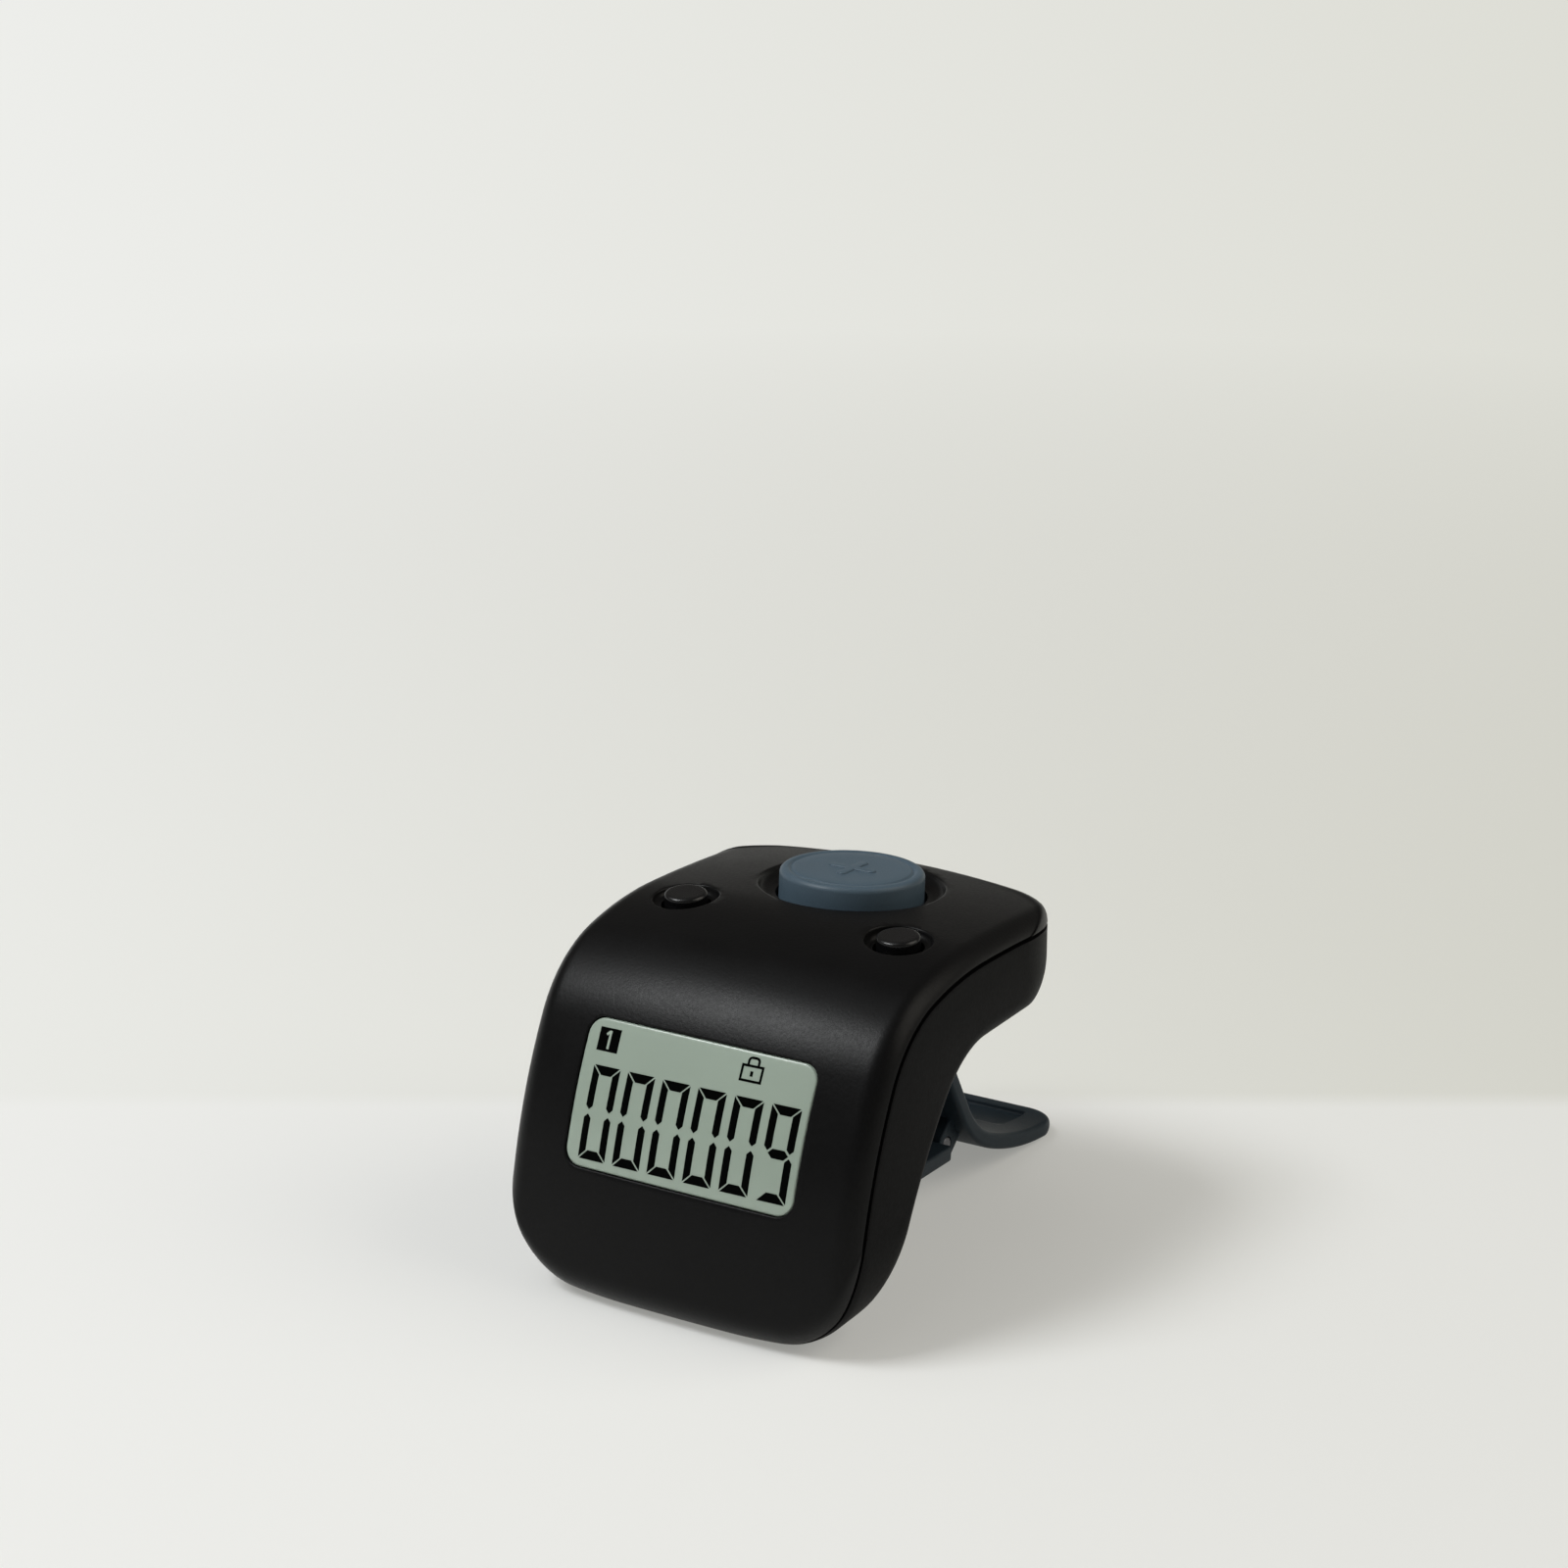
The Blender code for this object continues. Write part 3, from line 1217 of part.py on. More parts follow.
def clip_pin(parent):
    """Hinge pin, as long as the lever's lugs are apart."""
    hinge = hinge_point()
    frame = Matrix.Translation((0.0, hinge.x, hinge.y)) @ Matrix.Rotation(math.pi / 2, 4, "Y")
    half = KNUCKLE_INNER + KNUCKLE_WIDTH + SLIDE_GAP + LUG_WIDTH
    chamfer = PIN_RADIUS * 0.2
    profile = [
        (0.0, -half),
        (PIN_RADIUS - chamfer, -half),
        (PIN_RADIUS, -half + chamfer),
        (PIN_RADIUS, half - chamfer),
        (PIN_RADIUS - chamfer, half),
        (0.0, half),
    ]
    return piece(turned("clip_pin", profile, SMALL_STEPS, parent, frame), "steel")


def clip_bracket(parent):
    """Arm from the back of the leg to the hinge: a root pad, a flat arm and two knuckles."""
    hinge = hinge_point()
    root, out = root_point()
    away = along(out)
    lift = -right_of(out)
    arm_end = hinge + along(math.pi - ARM_SLOPE) * (KNUCKLE_RADIUS + SLIDE_GAP)
    arm = along(-ARM_SLOPE)
    half = ARM_THICKNESS / 2
    raise_by = -right_of(-ARM_SLOPE)
    pad = root + away * ROOT_GAP
    face = root + away * (ROOT_GAP + ROOT_DEPTH)
    neck = face + arm * (ROOT_HEIGHT / 2)
    outline = [
        pad - lift * ROOT_HEIGHT / 2,
        pad + lift * ROOT_HEIGHT / 2,
        pad + lift * ROOT_HEIGHT / 2 + away * ROOT_PAD_DEPTH,
        neck + raise_by * half,
        arm_end + raise_by * half,
        arm_end - raise_by * half,
        neck - raise_by * half,
        pad - lift * ROOT_HEIGHT / 2 + away * ROOT_PAD_DEPTH,
    ]
    bracket = extrusion("clip_bracket", outline, CLIP_WIDTH / 2, parent)
    soften = bracket.modifiers.new("soften", "BEVEL")
    soften.width = ARM_EDGE
    soften.segments = 2
    soften.limit_method = "ANGLE"
    soften.angle_limit = math.radians(20.0)
    knuckles = []
    for side in (-1, 1):
        middle = side * (KNUCKLE_INNER + KNUCKLE_WIDTH / 2)
        frame = section_frame(hinge, math.pi - ARM_SLOPE, middle)
        length = KNUCKLE_RADIUS + SLIDE_GAP + ARM_EDGE + KNUCKLE_ROOT
        knuckles.append(extrusion("knuckle", knuckle_outline(length), KNUCKLE_WIDTH / 2, parent, frame))
    knuckles = cutter(join("knuckles", knuckles))
    pilots = []
    for side in (-ROOT_SCREW_SPACING, ROOT_SCREW_SPACING):
        frame = root_frame(side) @ Matrix.Rotation(-math.pi / 2, 4, "X")
        deep = ROOT_SCREW_LENGTH - WALL + SLIDE_GAP
        pilots.append(rod("pilot", SCREW_RADIUS + SCREW_GAP, -MM, deep, SCREW_STEPS, parent, frame))
    pilots = cutter(join("root_pilots", pilots))
    combine(bracket, knuckles, "UNION")
    combine(bracket, cutter(pin_bore("knuckle_bore", parent)), "DIFFERENCE")
    combine(bracket, pilots, "DIFFERENCE")
    return piece(bracket, "slate_plastic", smooth=False)


def knuckle_outline(length):
    """Outline of a knuckle: round about the pin and as thin as the arm where it joins it."""
    points = []
    for step in range(15):
        angle = math.pi + KNUCKLE_WRAP * (step / 14 - 0.5)
        points.append((KNUCKLE_RADIUS * math.cos(angle), KNUCKLE_RADIUS * math.sin(angle)))
    half = ARM_THICKNESS / 2 - KNUCKLE_STEP
    return points + [(length, -half), (length, half)]


def bracket_screws(parent):
    """Two screws from inside the rear shell into the root of the arm."""
    for index, side in enumerate((-ROOT_SCREW_SPACING, ROOT_SCREW_SPACING)):
        seat = Matrix.Translation((0.0, 0.0, -WALL - SEAT_GAP))
        frame = root_frame(side) @ Matrix.Rotation(-math.pi / 2, 4, "X") @ seat
        pan_screw(f"bracket_screw_{index + 1}", ROOT_SCREW_LENGTH, parent, frame)


def clip_spring(parent):
    """Torsion spring on the pin: one arm presses up under the bracket, the other up under the tab."""
    coil_radius = PIN_RADIUS + COIL_GAP + WIRE_RADIUS
    hinge = hinge_point()
    tab_centre = clip_line()[1]
    to_centre = tab_centre - hinge
    clear = TAB_RADIUS + CLIP_THICKNESS / 2 + WIRE_RADIUS + 2 * SEAT_GAP
    opening = math.acos(min((clear - coil_radius) / to_centre.length, 1.0))
    leave = math.atan2(to_centre.y, to_centre.x) - math.pi / 2 + opening
    reach = to_centre.length * math.sin(opening)
    enter = -ARM_SLOPE
    first = enter - math.pi / 2
    last = leave - math.pi / 2 + FULL_TURN * SPRING_TURNS
    length = SPRING_PITCH * SPRING_TURNS
    points = []

    def add(point, side):
        points.append((side, hinge.x + point.x, hinge.y + point.y))

    add(along(first) * coil_radius - along(enter) * SPRING_ARM, -length / 2)
    steps = 10 * SPRING_TURNS
    for step in range(steps + 1):
        share = step / steps
        add(along(first + (last - first) * share) * coil_radius, length * (share - 0.5))
    add(along(last) * coil_radius + along(leave) * (reach + SPRING_OVERHANG), length / 2)

    curve = bpy.data.curves.new("clip_spring", "CURVE")
    curve.dimensions = "3D"
    curve.bevel_depth = WIRE_RADIUS
    curve.bevel_resolution = 1
    curve.use_fill_caps = True
    spline = curve.splines.new("POLY")
    spline.points.add(len(points) - 1)
    for slot, point in zip(spline.points, points):
        slot.co = (*point, 1.0)
    made = bpy.data.objects.new("clip_spring", curve)
    bpy.context.scene.collection.objects.link(made)
    made.parent = parent
    curve.materials.append(material("steel"))
    return made


def main():
    """Build every piece under the empty that stands the counter on the ground."""
    clear_scene()
    front = min(point.x for point in body_outline(0.0, 0.0, 0.0))
    middle = (front + CLIP_REACH) / 2
    counter = empty("counter", None, Matrix.Translation((0.0, -middle, DISPLAY_HEIGHT)))
    front_shell(counter)
    rear_shell(counter)
    battery_door(counter)
    door_screw(counter)
    case_screws(counter)
    display_window(counter)
    display_stack(counter)
    ribbon(counter)
    keys(counter)
    button_board(counter)
    power(counter)
    clip_bracket(counter)
    bracket_screws(counter)
    clip_lever(counter)
    clip_pin(counter)
    clip_spring(counter)


main()
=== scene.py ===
"""Looks of a digital finger counter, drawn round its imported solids.

The body is a section of tangent arcs swept across X with a crown, bowed ends and rounded edges. Its own
frame has its origin in the middle of the display: -Y is the front, +X the counter's right, +Z up. Lengths
are in metres.
"""

import math

import bmesh
import bpy
import numpy as np
from mathutils import Matrix, Vector


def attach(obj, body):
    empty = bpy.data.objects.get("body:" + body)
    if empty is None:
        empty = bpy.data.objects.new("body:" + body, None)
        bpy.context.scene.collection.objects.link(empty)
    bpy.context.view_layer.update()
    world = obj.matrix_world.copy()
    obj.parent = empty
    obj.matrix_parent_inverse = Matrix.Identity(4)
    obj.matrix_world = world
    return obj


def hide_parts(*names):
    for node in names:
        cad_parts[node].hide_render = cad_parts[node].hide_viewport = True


bl_info = {
    "name": "Finger counter",
    "version": (1, 0, 0),
    "blender": (4, 5, 0),
    "location": "3D View > Sidebar > Counter",
    "description": "Builds the visible pieces and finishes of a digital finger counter",
    "category": "Add Mesh",
}

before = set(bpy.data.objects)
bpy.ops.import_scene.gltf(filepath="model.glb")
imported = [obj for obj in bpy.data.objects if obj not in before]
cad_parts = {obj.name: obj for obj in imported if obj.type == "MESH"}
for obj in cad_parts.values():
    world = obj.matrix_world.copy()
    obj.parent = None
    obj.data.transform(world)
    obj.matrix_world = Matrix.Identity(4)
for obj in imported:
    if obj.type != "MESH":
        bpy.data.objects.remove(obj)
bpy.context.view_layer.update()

MM = 0.001
FULL_TURN = 2 * math.pi
RIGHT_ANGLE = math.pi / 2

# Body section: the outer curve from the foot up the leg, round the bend and back along the head
DISPLAY_HEIGHT = 18.07 * MM
DISPLAY_AHEAD = 24.078 * MM
LEG_LEAN = math.radians(68.1)
LEG_RADIUS = 50.0 * MM
BEND_START = 5.8 * MM
BEND_RADIUS = 12.7 * MM
BEND_END_SLOPE = math.radians(13.65)
SHOULDER_RADIUS = 35.0 * MM
SHOULDER_END_SLOPE = math.radians(-1.5)
TOP_RADIUS = 187.0 * MM
BODY_REACH = 38.4 * MM
BROW_RADIUS = 2.2 * MM
TAIL_RADIUS = 3.7 * MM
TOE_RADIUS = 3.2 * MM
HEEL_RADIUS = 4.0 * MM

# Body section: the finger side
SADDLE_START = 21.3 * MM
SADDLE_RADIUS = 8.8 * MM
SADDLE_TURN = math.radians(50.0)
CALF_RADIUS = 50.0 * MM

# Body across X
BODY_WIDTH = 34.4 * MM
CROWN_RADIUS = 180.0 * MM
EDGE_RADIUS = 2.0 * MM
INNER_EDGE_RADIUS = 0.8 * MM
SOLE_HALF_WIDTH = 5.0 * MM
FOOT_BOW_RADIUS = 60.0 * MM
FOOT_CORNER_RADIUS = 7.0 * MM
TAIL_BOW_RADIUS = 55.0 * MM
TAIL_CORNER_RADIUS = 5.8 * MM

# Shells
WALL = 1.4 * MM
PART_DEPTH = 2.1 * MM
PART_GAP = 0.35 * MM
SEAT_GAP = 0.1 * MM
SLIDE_GAP = 0.3 * MM
CUT_OVERRUN = 4 * MM
CUT_DEPTH = 1.5 * CUT_OVERRUN
RIM_DEGREES = 70.0

# Display
WINDOW_WIDTH = 22.4 * MM
WINDOW_HEIGHT = 12.8 * MM
WINDOW_CORNER = 1.6 * MM
WINDOW_GAP = 0.15 * MM
LENS_SINK = 0.12 * MM
LANDING_DEPTH = 2.45 * MM
LANDING_MARGIN = 2.2 * MM
LENS_FLANGE = 1.25 * MM
LENS_FLANGE_THICKNESS = 0.7 * MM
FACE_EDGE = 0.22 * MM
INK = 0.012 * MM
# The marks climb towards the right by this share of the way across
MARK_RISE = 0.0136
DIGIT_COUNT = 6
DIGIT_PITCH = 3.495 * MM
DIGIT_GAP = 0.09 * MM
DIGIT_SHIFT = 0.32 * MM
DIGIT_BASE = -1.52 * MM
BOX_PLACE = (-8.90 * MM, 4.66 * MM)
BOX_WIDTH = 2.12 * MM
BOX_HEIGHT = 2.0 * MM
LOCK_PLACE = (5.20 * MM, 4.42 * MM)

# Keys
COUNT_PLACE = 33.1 * MM
COUNT_RADIUS = 6.4 * MM
COUNT_RISE = 1.25 * MM
COUNT_EDGE = 0.55 * MM
COUNT_WELL_RADIUS = 8.2 * MM
COUNT_WELL_DEPTH = 1.1 * MM
COUNT_WELL_FLOOR = 0.8 * MM
COUNT_RING_RADIUS = 5.4 * MM
COUNT_RING_DEPTH = 0.15 * MM
COUNT_RING_WIDTH = 0.6 * MM
MOTIF_WIDTH = 0.9 * MM
MOTIF_CORNER = 0.42 * MM
MOTIF_RISE = 0.12 * MM
MOTIF_SINK = 0.3 * MM
COUNT_TRAVEL = 0.5 * MM
SIDE_PLACE = 22.6 * MM
SIDE_SPACING = 10.56 * MM
SIDE_RADIUS = 1.9 * MM
SIDE_RISE = 0.35 * MM
SIDE_EDGE = 0.35 * MM
SIDE_WELL_RADIUS = 2.9 * MM
SIDE_WELL_DEPTH = 0.8 * MM
SIDE_WELL_FLOOR = 0.9 * MM
# The bowl of a well starts at this share of the way from its hole to its rim
BOWL_START = 0.35
BOWL_TURN = math.radians(74.0)
KEY_LIP = 0.7 * MM
FLANGE_THICKNESS = 0.7 * MM
FLANGE_GAP = 0.15 * MM
PRESS_GAP = 0.06 * MM
DOME_HEIGHT = 0.4 * MM

# Power
CELL_RADIUS = 5.8 * MM
CELL_THICKNESS = 3.05 * MM
CELL_GAP = 0.15 * MM
POCKET_WALL = 0.8 * MM
CONTACT_THICKNESS = 0.2 * MM
CONTACT_ROOM = 0.4 * MM
BOARD_THICKNESS = 0.8 * MM
DOOR_THICKNESS = 0.9 * MM
DOOR_WIDTH = 18.0 * MM
DOOR_LENGTH = 11.8 * MM
DOOR_OFFSET = 1.5 * MM
DOOR_CORNER = 1.5 * MM
DOOR_EDGE = 0.12 * MM
GRIP_COUNT = 3
GRIP_PLACE = 2.2 * MM
GRIP_PITCH = 0.9 * MM
GRIP_WIDTH = 0.4 * MM
GRIP_LENGTH = 6.0 * MM
GRIP_DEPTH = 0.2 * MM
GRIP_CORNER = 0.18 * MM
DOOR_SCREW_PLACE = 8.4 * MM
DOOR_SCREW_LENGTH = 3.5 * MM
DOOR_SCREW_SEAT = DOOR_THICKNESS * 0.8
DOOR_SCREW_SINK = 0.05 * MM
DOOR_SCREW_RIM = 0.08 * MM
TONGUE_WIDTH = 5.0 * MM
TONGUE_LENGTH = 0.9 * MM

# Fasteners
SCREW_RADIUS = 0.8 * MM
SCREW_HEAD_RADIUS = 1.5 * MM
SCREW_HEAD_HEIGHT = 1.0 * MM
SCREW_SINK = 0.8 * MM
SCREW_GAP = 0.1 * MM
SCREW_CORE = SCREW_RADIUS * 0.8
SCREW_NECK = SCREW_RADIUS * 0.9
# Shares of a screw's head: its straight side, and the length and width of its cross recess
SCREW_HEAD_SIDE = 0.35
CROSS_LENGTH = 1.25
CROSS_WIDTH = 0.28
CROSS_DEPTH = 0.6 * MM
DOOR_CROSS_DEPTH = 0.5 * MM
BOSS_RADIUS = 2.0 * MM
DOOR_BOSS_RADIUS = BOSS_RADIUS - 0.4 * MM
BOSS_MEET_DEPTH = 5.4 * MM
LEG_SCREW_SPACING = 11.2 * MM
LEG_SCREW_HEIGHT = 5.0 * MM
HEAD_SCREW_SPACING = 12.7 * MM
HEAD_SCREW_PLACE = 29.6 * MM
SCREW_TIP_DEPTH = 1.2 * MM
SCREW_TIP = 0.4 * MM
THREAD_PITCH = 0.5 * MM

# Clip
CLIP_REACH = 51.6 * MM
CLIP_WIDTH = 18.0 * MM
CLIP_THICKNESS = 1.5 * MM
CLIP_EDGE = 0.4 * MM
CLIP_CORNER = 3.2 * MM
TAB_RADIUS = 34.0 * MM
TAB_TURN = math.radians(24.0)
CURL_RADIUS = 11.5 * MM
CURL_TURN = math.radians(35.4)
STRIP_LENGTH = 12.2 * MM
THUMB_WIDTH = 12.4 * MM
THUMB_LENGTH = 5.6 * MM
THUMB_INSET = 1.7 * MM
THUMB_DEPTH = 0.45 * MM
THUMB_CORNER = 0.7 * MM
THUMB_EDGE = 0.35 * MM
THUMB_RIM = 0.14 * MM
HINGE_TURN = math.radians(26.5)
HINGE_STAND_OFF = 2.55 * MM
PIN_RADIUS = 0.75 * MM
PIN_GAP = 0.05 * MM
PIN_EDGE = 0.15 * MM
KNUCKLE_RADIUS = 1.5 * MM
KNUCKLE_INNER = 2.9 * MM
KNUCKLE_WIDTH = 2.3 * MM
KNUCKLE_TURN = math.radians(240.0)
LUG_WIDTH = 2.0 * MM
LUG_EDGE = 0.15 * MM
EYE_OVERLAP = 0.5 * MM
EYE_STEP = 0.05 * MM
ARM_THICKNESS = 1.45 * MM
ARM_SLOPE = math.radians(6.5)
ARM_EDGE = 0.25 * MM
ROOT_HEIGHT = 5.4 * MM
ROOT_DEPTH = 3.0 * MM
ROOT_KNEE = 0.4
ROOT_GAP = 0.2 * MM
ROOT_SCREW_SPACING = 5.6 * MM
ROOT_SCREW_LENGTH = 4.2 * MM
WIRE_RADIUS = 0.25 * MM
SPRING_TURNS = 4
SPRING_PITCH = 1.0 * MM
SPRING_ARM = 5.0 * MM
SPRING_OVERRUN = 0.6 * MM

# Stage, as the photograph shows it
CAMERA_PLACE = (0.14118, -0.24145, 0.12857)
CAMERA_AZIMUTH = math.radians(31.2)
CAMERA_PITCH = math.radians(17.56)
CAMERA_LENS = 78.3
SENSOR_WIDTH = 36.0
FLOOR_RADII = (0.001, 0.05, 0.2, 0.6, 1.0, 1.6, 1.8, 1.92, 1.98, 2.0)
FLOOR_HEIGHTS = (0, 0, 0, 0, 0, 0, 0.02, 0.07, 0.15, 0.26)
# The backdrop's tone: stops by place and level for where it starts and how it glows, and the factors of the
# painted shade that darkens and warms its right side
BACKDROP_LINE = ((0.0258, 0.0), (0.0270, 1.0))
BACKDROP_GLOW = ((0.09, 0.36), (0.45, 1.0))
BACKDROP_PAINTED_SHADE = (0.84, 0.835, 0.79)
LAMP_AIM = (0.0, 0.0, 0.015)
COOL = (0.97, 0.99, 1.0)
LAMPS = (
    ("key", (-0.39, -0.39, 0.72), 0.32, 5.1, COOL),
    ("overhead", (-0.42, -0.32, 0.95), 1.10, 2.2, COOL),
    ("fill", (1.10, 0.50, 1.00), 1.20, 8.8, (1.0, 0.95, 0.86)),
)
SURROUND = (1.0, 0.95, 0.87, 1.0)
SURROUND_LEVEL = 0.13
RAYS = ("Camera", "Glossy", "Transmission")

TO_WORLD = Matrix.Translation((0.0, -DISPLAY_AHEAD, DISPLAY_HEIGHT))


# What a user would change


class CounterSizes(bpy.types.PropertyGroup):
    """Sizes that belong to the looks alone."""

    grain: bpy.props.FloatProperty(
        name="Grain", description="Width of a grain on the black shells",
        default=0.22 * MM, min=0.05 * MM, precision=5, unit="LENGTH",
    )
    grain_height: bpy.props.FloatProperty(
        name="Grain height", description="How far the grain on the shells stands out",
        default=0.011 * MM, min=0.0, precision=6, unit="LENGTH",
    )
    rim_round: bpy.props.FloatProperty(
        name="Rim rounding", description="Radius along the rims of the key wells",
        default=0.25 * MM, min=0.05 * MM, precision=5, unit="LENGTH",
    )
    digit_height: bpy.props.FloatProperty(
        name="Digit height", description="Height of a digit on the display",
        default=7.95 * MM, min=3 * MM, precision=5, unit="LENGTH",
    )
    digit_width: bpy.props.FloatProperty(
        name="Digit width", description="Width of a digit on the display",
        default=2.72 * MM, min=1 * MM, precision=5, unit="LENGTH",
    )
    digit_stroke: bpy.props.FloatProperty(
        name="Digit stroke", description="Width of an upright bar of a digit",
        default=0.67 * MM, min=0.1 * MM, precision=5, unit="LENGTH",
    )
    digit_bar: bpy.props.FloatProperty(
        name="Digit bar", description="Width of a level bar of a digit",
        default=0.78 * MM, min=0.1 * MM, precision=5, unit="LENGTH",
    )
    reading: bpy.props.IntProperty(
        name="Reading", description="Number that the display shows", default=9, min=0, max=999999
    )
    motif: bpy.props.FloatProperty(
        name="Key mark", description="Length of each bar of the plus on the count button",
        default=4.6 * MM, min=1 * MM, precision=5, unit="LENGTH",
    )


class CounterColours(bpy.types.PropertyGroup):
    """Colours of the counter and its stage."""

    shell: bpy.props.FloatVectorProperty(
        name="Shells", description="Black of the two shells", subtype="COLOR",
        default=(0.0032, 0.0032, 0.0034),
    )
    key: bpy.props.FloatVectorProperty(
        name="Small keys", description="Black of the small buttons", subtype="COLOR",
        default=(0.0032, 0.0032, 0.0036),
    )
    slate: bpy.props.FloatVectorProperty(
        name="Slate", description="Blue grey of the count button and clip", subtype="COLOR",
        default=(0.064, 0.098, 0.128),
    )
    display: bpy.props.FloatVectorProperty(
        name="Display", description="Grey green of the display", subtype="COLOR",
        default=(0.310, 0.376, 0.315),
    )
    digit: bpy.props.FloatVectorProperty(
        name="Digits", description="Black of the display's bars", subtype="COLOR",
        default=(0.0015, 0.0018, 0.0016),
    )
    floor: bpy.props.FloatVectorProperty(
        name="Floor", description="Near part of the floor", subtype="COLOR", default=(0.89, 0.89, 0.88)
    )
    wall: bpy.props.FloatVectorProperty(
        name="Backdrop", description="Far part of the floor and the backdrop", subtype="COLOR",
        default=(0.855, 0.860, 0.835),
    )


# Plane geometry: a heading is an angle from +Y towards +Z


def along(heading):
    """Unit vector of a heading: its cosine along Y and its sine along Z."""
    return np.stack([np.cos(heading), np.sin(heading)], -1)


def right_of(heading):
    """Unit vector a quarter turn clockwise from a heading."""
    return np.stack([np.sin(heading), -np.cos(heading)], -1)


def arc(centre, radius, start, end, count, left=False, last=False):
    """Points and headings of an arc: its centre plus or minus the radius along the right-hand normal.

    The heading runs evenly from start to end. Centres and headings may be arrays, one row for each place.
    """
    share = np.arange(count) / (count - 1 if last else count)
    start = np.atleast_1d(start)[:, None]
    heading = start + (np.atleast_1d(end)[:, None] - start) * share
    bulge = radius if left else -radius
    return np.atleast_2d(centre)[:, None, :] + bulge * right_of(heading), heading


def front_breaks():
    """Distances along the outer curve where its radius changes."""
    bend_slope = LEG_LEAN - BEND_START / LEG_RADIUS
    bend_end = BEND_START + BEND_RADIUS * (bend_slope - BEND_END_SLOPE)
    return BEND_START, bend_end, bend_end + SHOULDER_RADIUS * (BEND_END_SLOPE - SHOULDER_END_SLOPE)


def front_curve(distance):
    """Point and heading on the outer curve at a distance up from the middle of the display."""
    point = np.zeros(2)
    heading = LEG_LEAN
    start = 0.0
    radii = (LEG_RADIUS, BEND_RADIUS, SHOULDER_RADIUS, TOP_RADIUS)
    for radius, end in zip(radii, (*front_breaks(), math.inf)):
        length = min(distance, end) - start
        centre = point + right_of(heading) * radius
        heading -= length / radius
        point = centre - right_of(heading) * radius
        if distance <= end:
            break
        start = end
    return point, heading


def crown(side):
    """Fall of the outer surface away from the middle: the side squared over twice the crown's radius."""
    return side * side / (2 * CROWN_RADIUS)


def section_frame(point, heading, side=0.0):
    """Frame in the world whose Y axis runs along a heading in the section, with X to the counter's right."""
    ahead = along(heading)
    left = -right_of(heading)
    return TO_WORLD @ Matrix(
        (
            (1.0, 0.0, 0.0, side),
            (0.0, ahead[0], left[0], point[0]),
            (0.0, ahead[1], left[1], point[1]),
            (0.0, 0.0, 0.0, 1.0),
        )
    )


def surface_frame(distance, side=0.0):
    """Frame on the outer surface: Z out of it, Y up along the curve, X to the counter's right."""
    point, heading = front_curve(distance)
    return section_frame(point + right_of(heading) * crown(side), heading, side)


def level_frame(across, back, height):
    """Level frame at a place given in the body's own frame."""
    return TO_WORLD @ Matrix.Translation((across, back, height))


# Heights in the head


def board_top():
    """Height of the button board's upper face."""
    key = COUNT_WELL_DEPTH + COUNT_WELL_FLOOR + FLANGE_GAP + FLANGE_THICKNESS
    return front_curve(COUNT_PLACE)[0][1] - key - COUNT_TRAVEL - 2 * PRESS_GAP - DOME_HEIGHT


def cell_top():
    """Height of the coin cell's upper face."""
    return board_top() - BOARD_THICKNESS - CONTACT_ROOM - CONTACT_THICKNESS - 2 * SEAT_GAP


def underside():
    """Height of the head's flat lower face."""
    return cell_top() - CELL_THICKNESS - CELL_GAP - DOOR_THICKNESS


CELL_PLACE = (SADDLE_START + BODY_REACH - TAIL_RADIUS) / 2


# Shape of the body


def corner_drop(side, radius, inset):
    """Pull of a plan corner: its radius less the root of the radius squared less the excess squared."""
    inner = radius - inset
    past = np.maximum(np.abs(side) - (BODY_WIDTH / 2 - radius), 0.0)
    return inner - np.sqrt(np.maximum(inner * inner - past * past, 0.0))


def calf_arc():
    """Centre of the arc up the back of the leg, and its heading where it meets the saddle."""
    heading = -math.pi + SADDLE_TURN
    centre = np.array([SADDLE_START, underside()]) - right_of(-math.pi) * SADDLE_RADIUS
    end = centre + right_of(heading) * SADDLE_RADIUS
    return end - right_of(heading) * CALF_RADIUS, heading


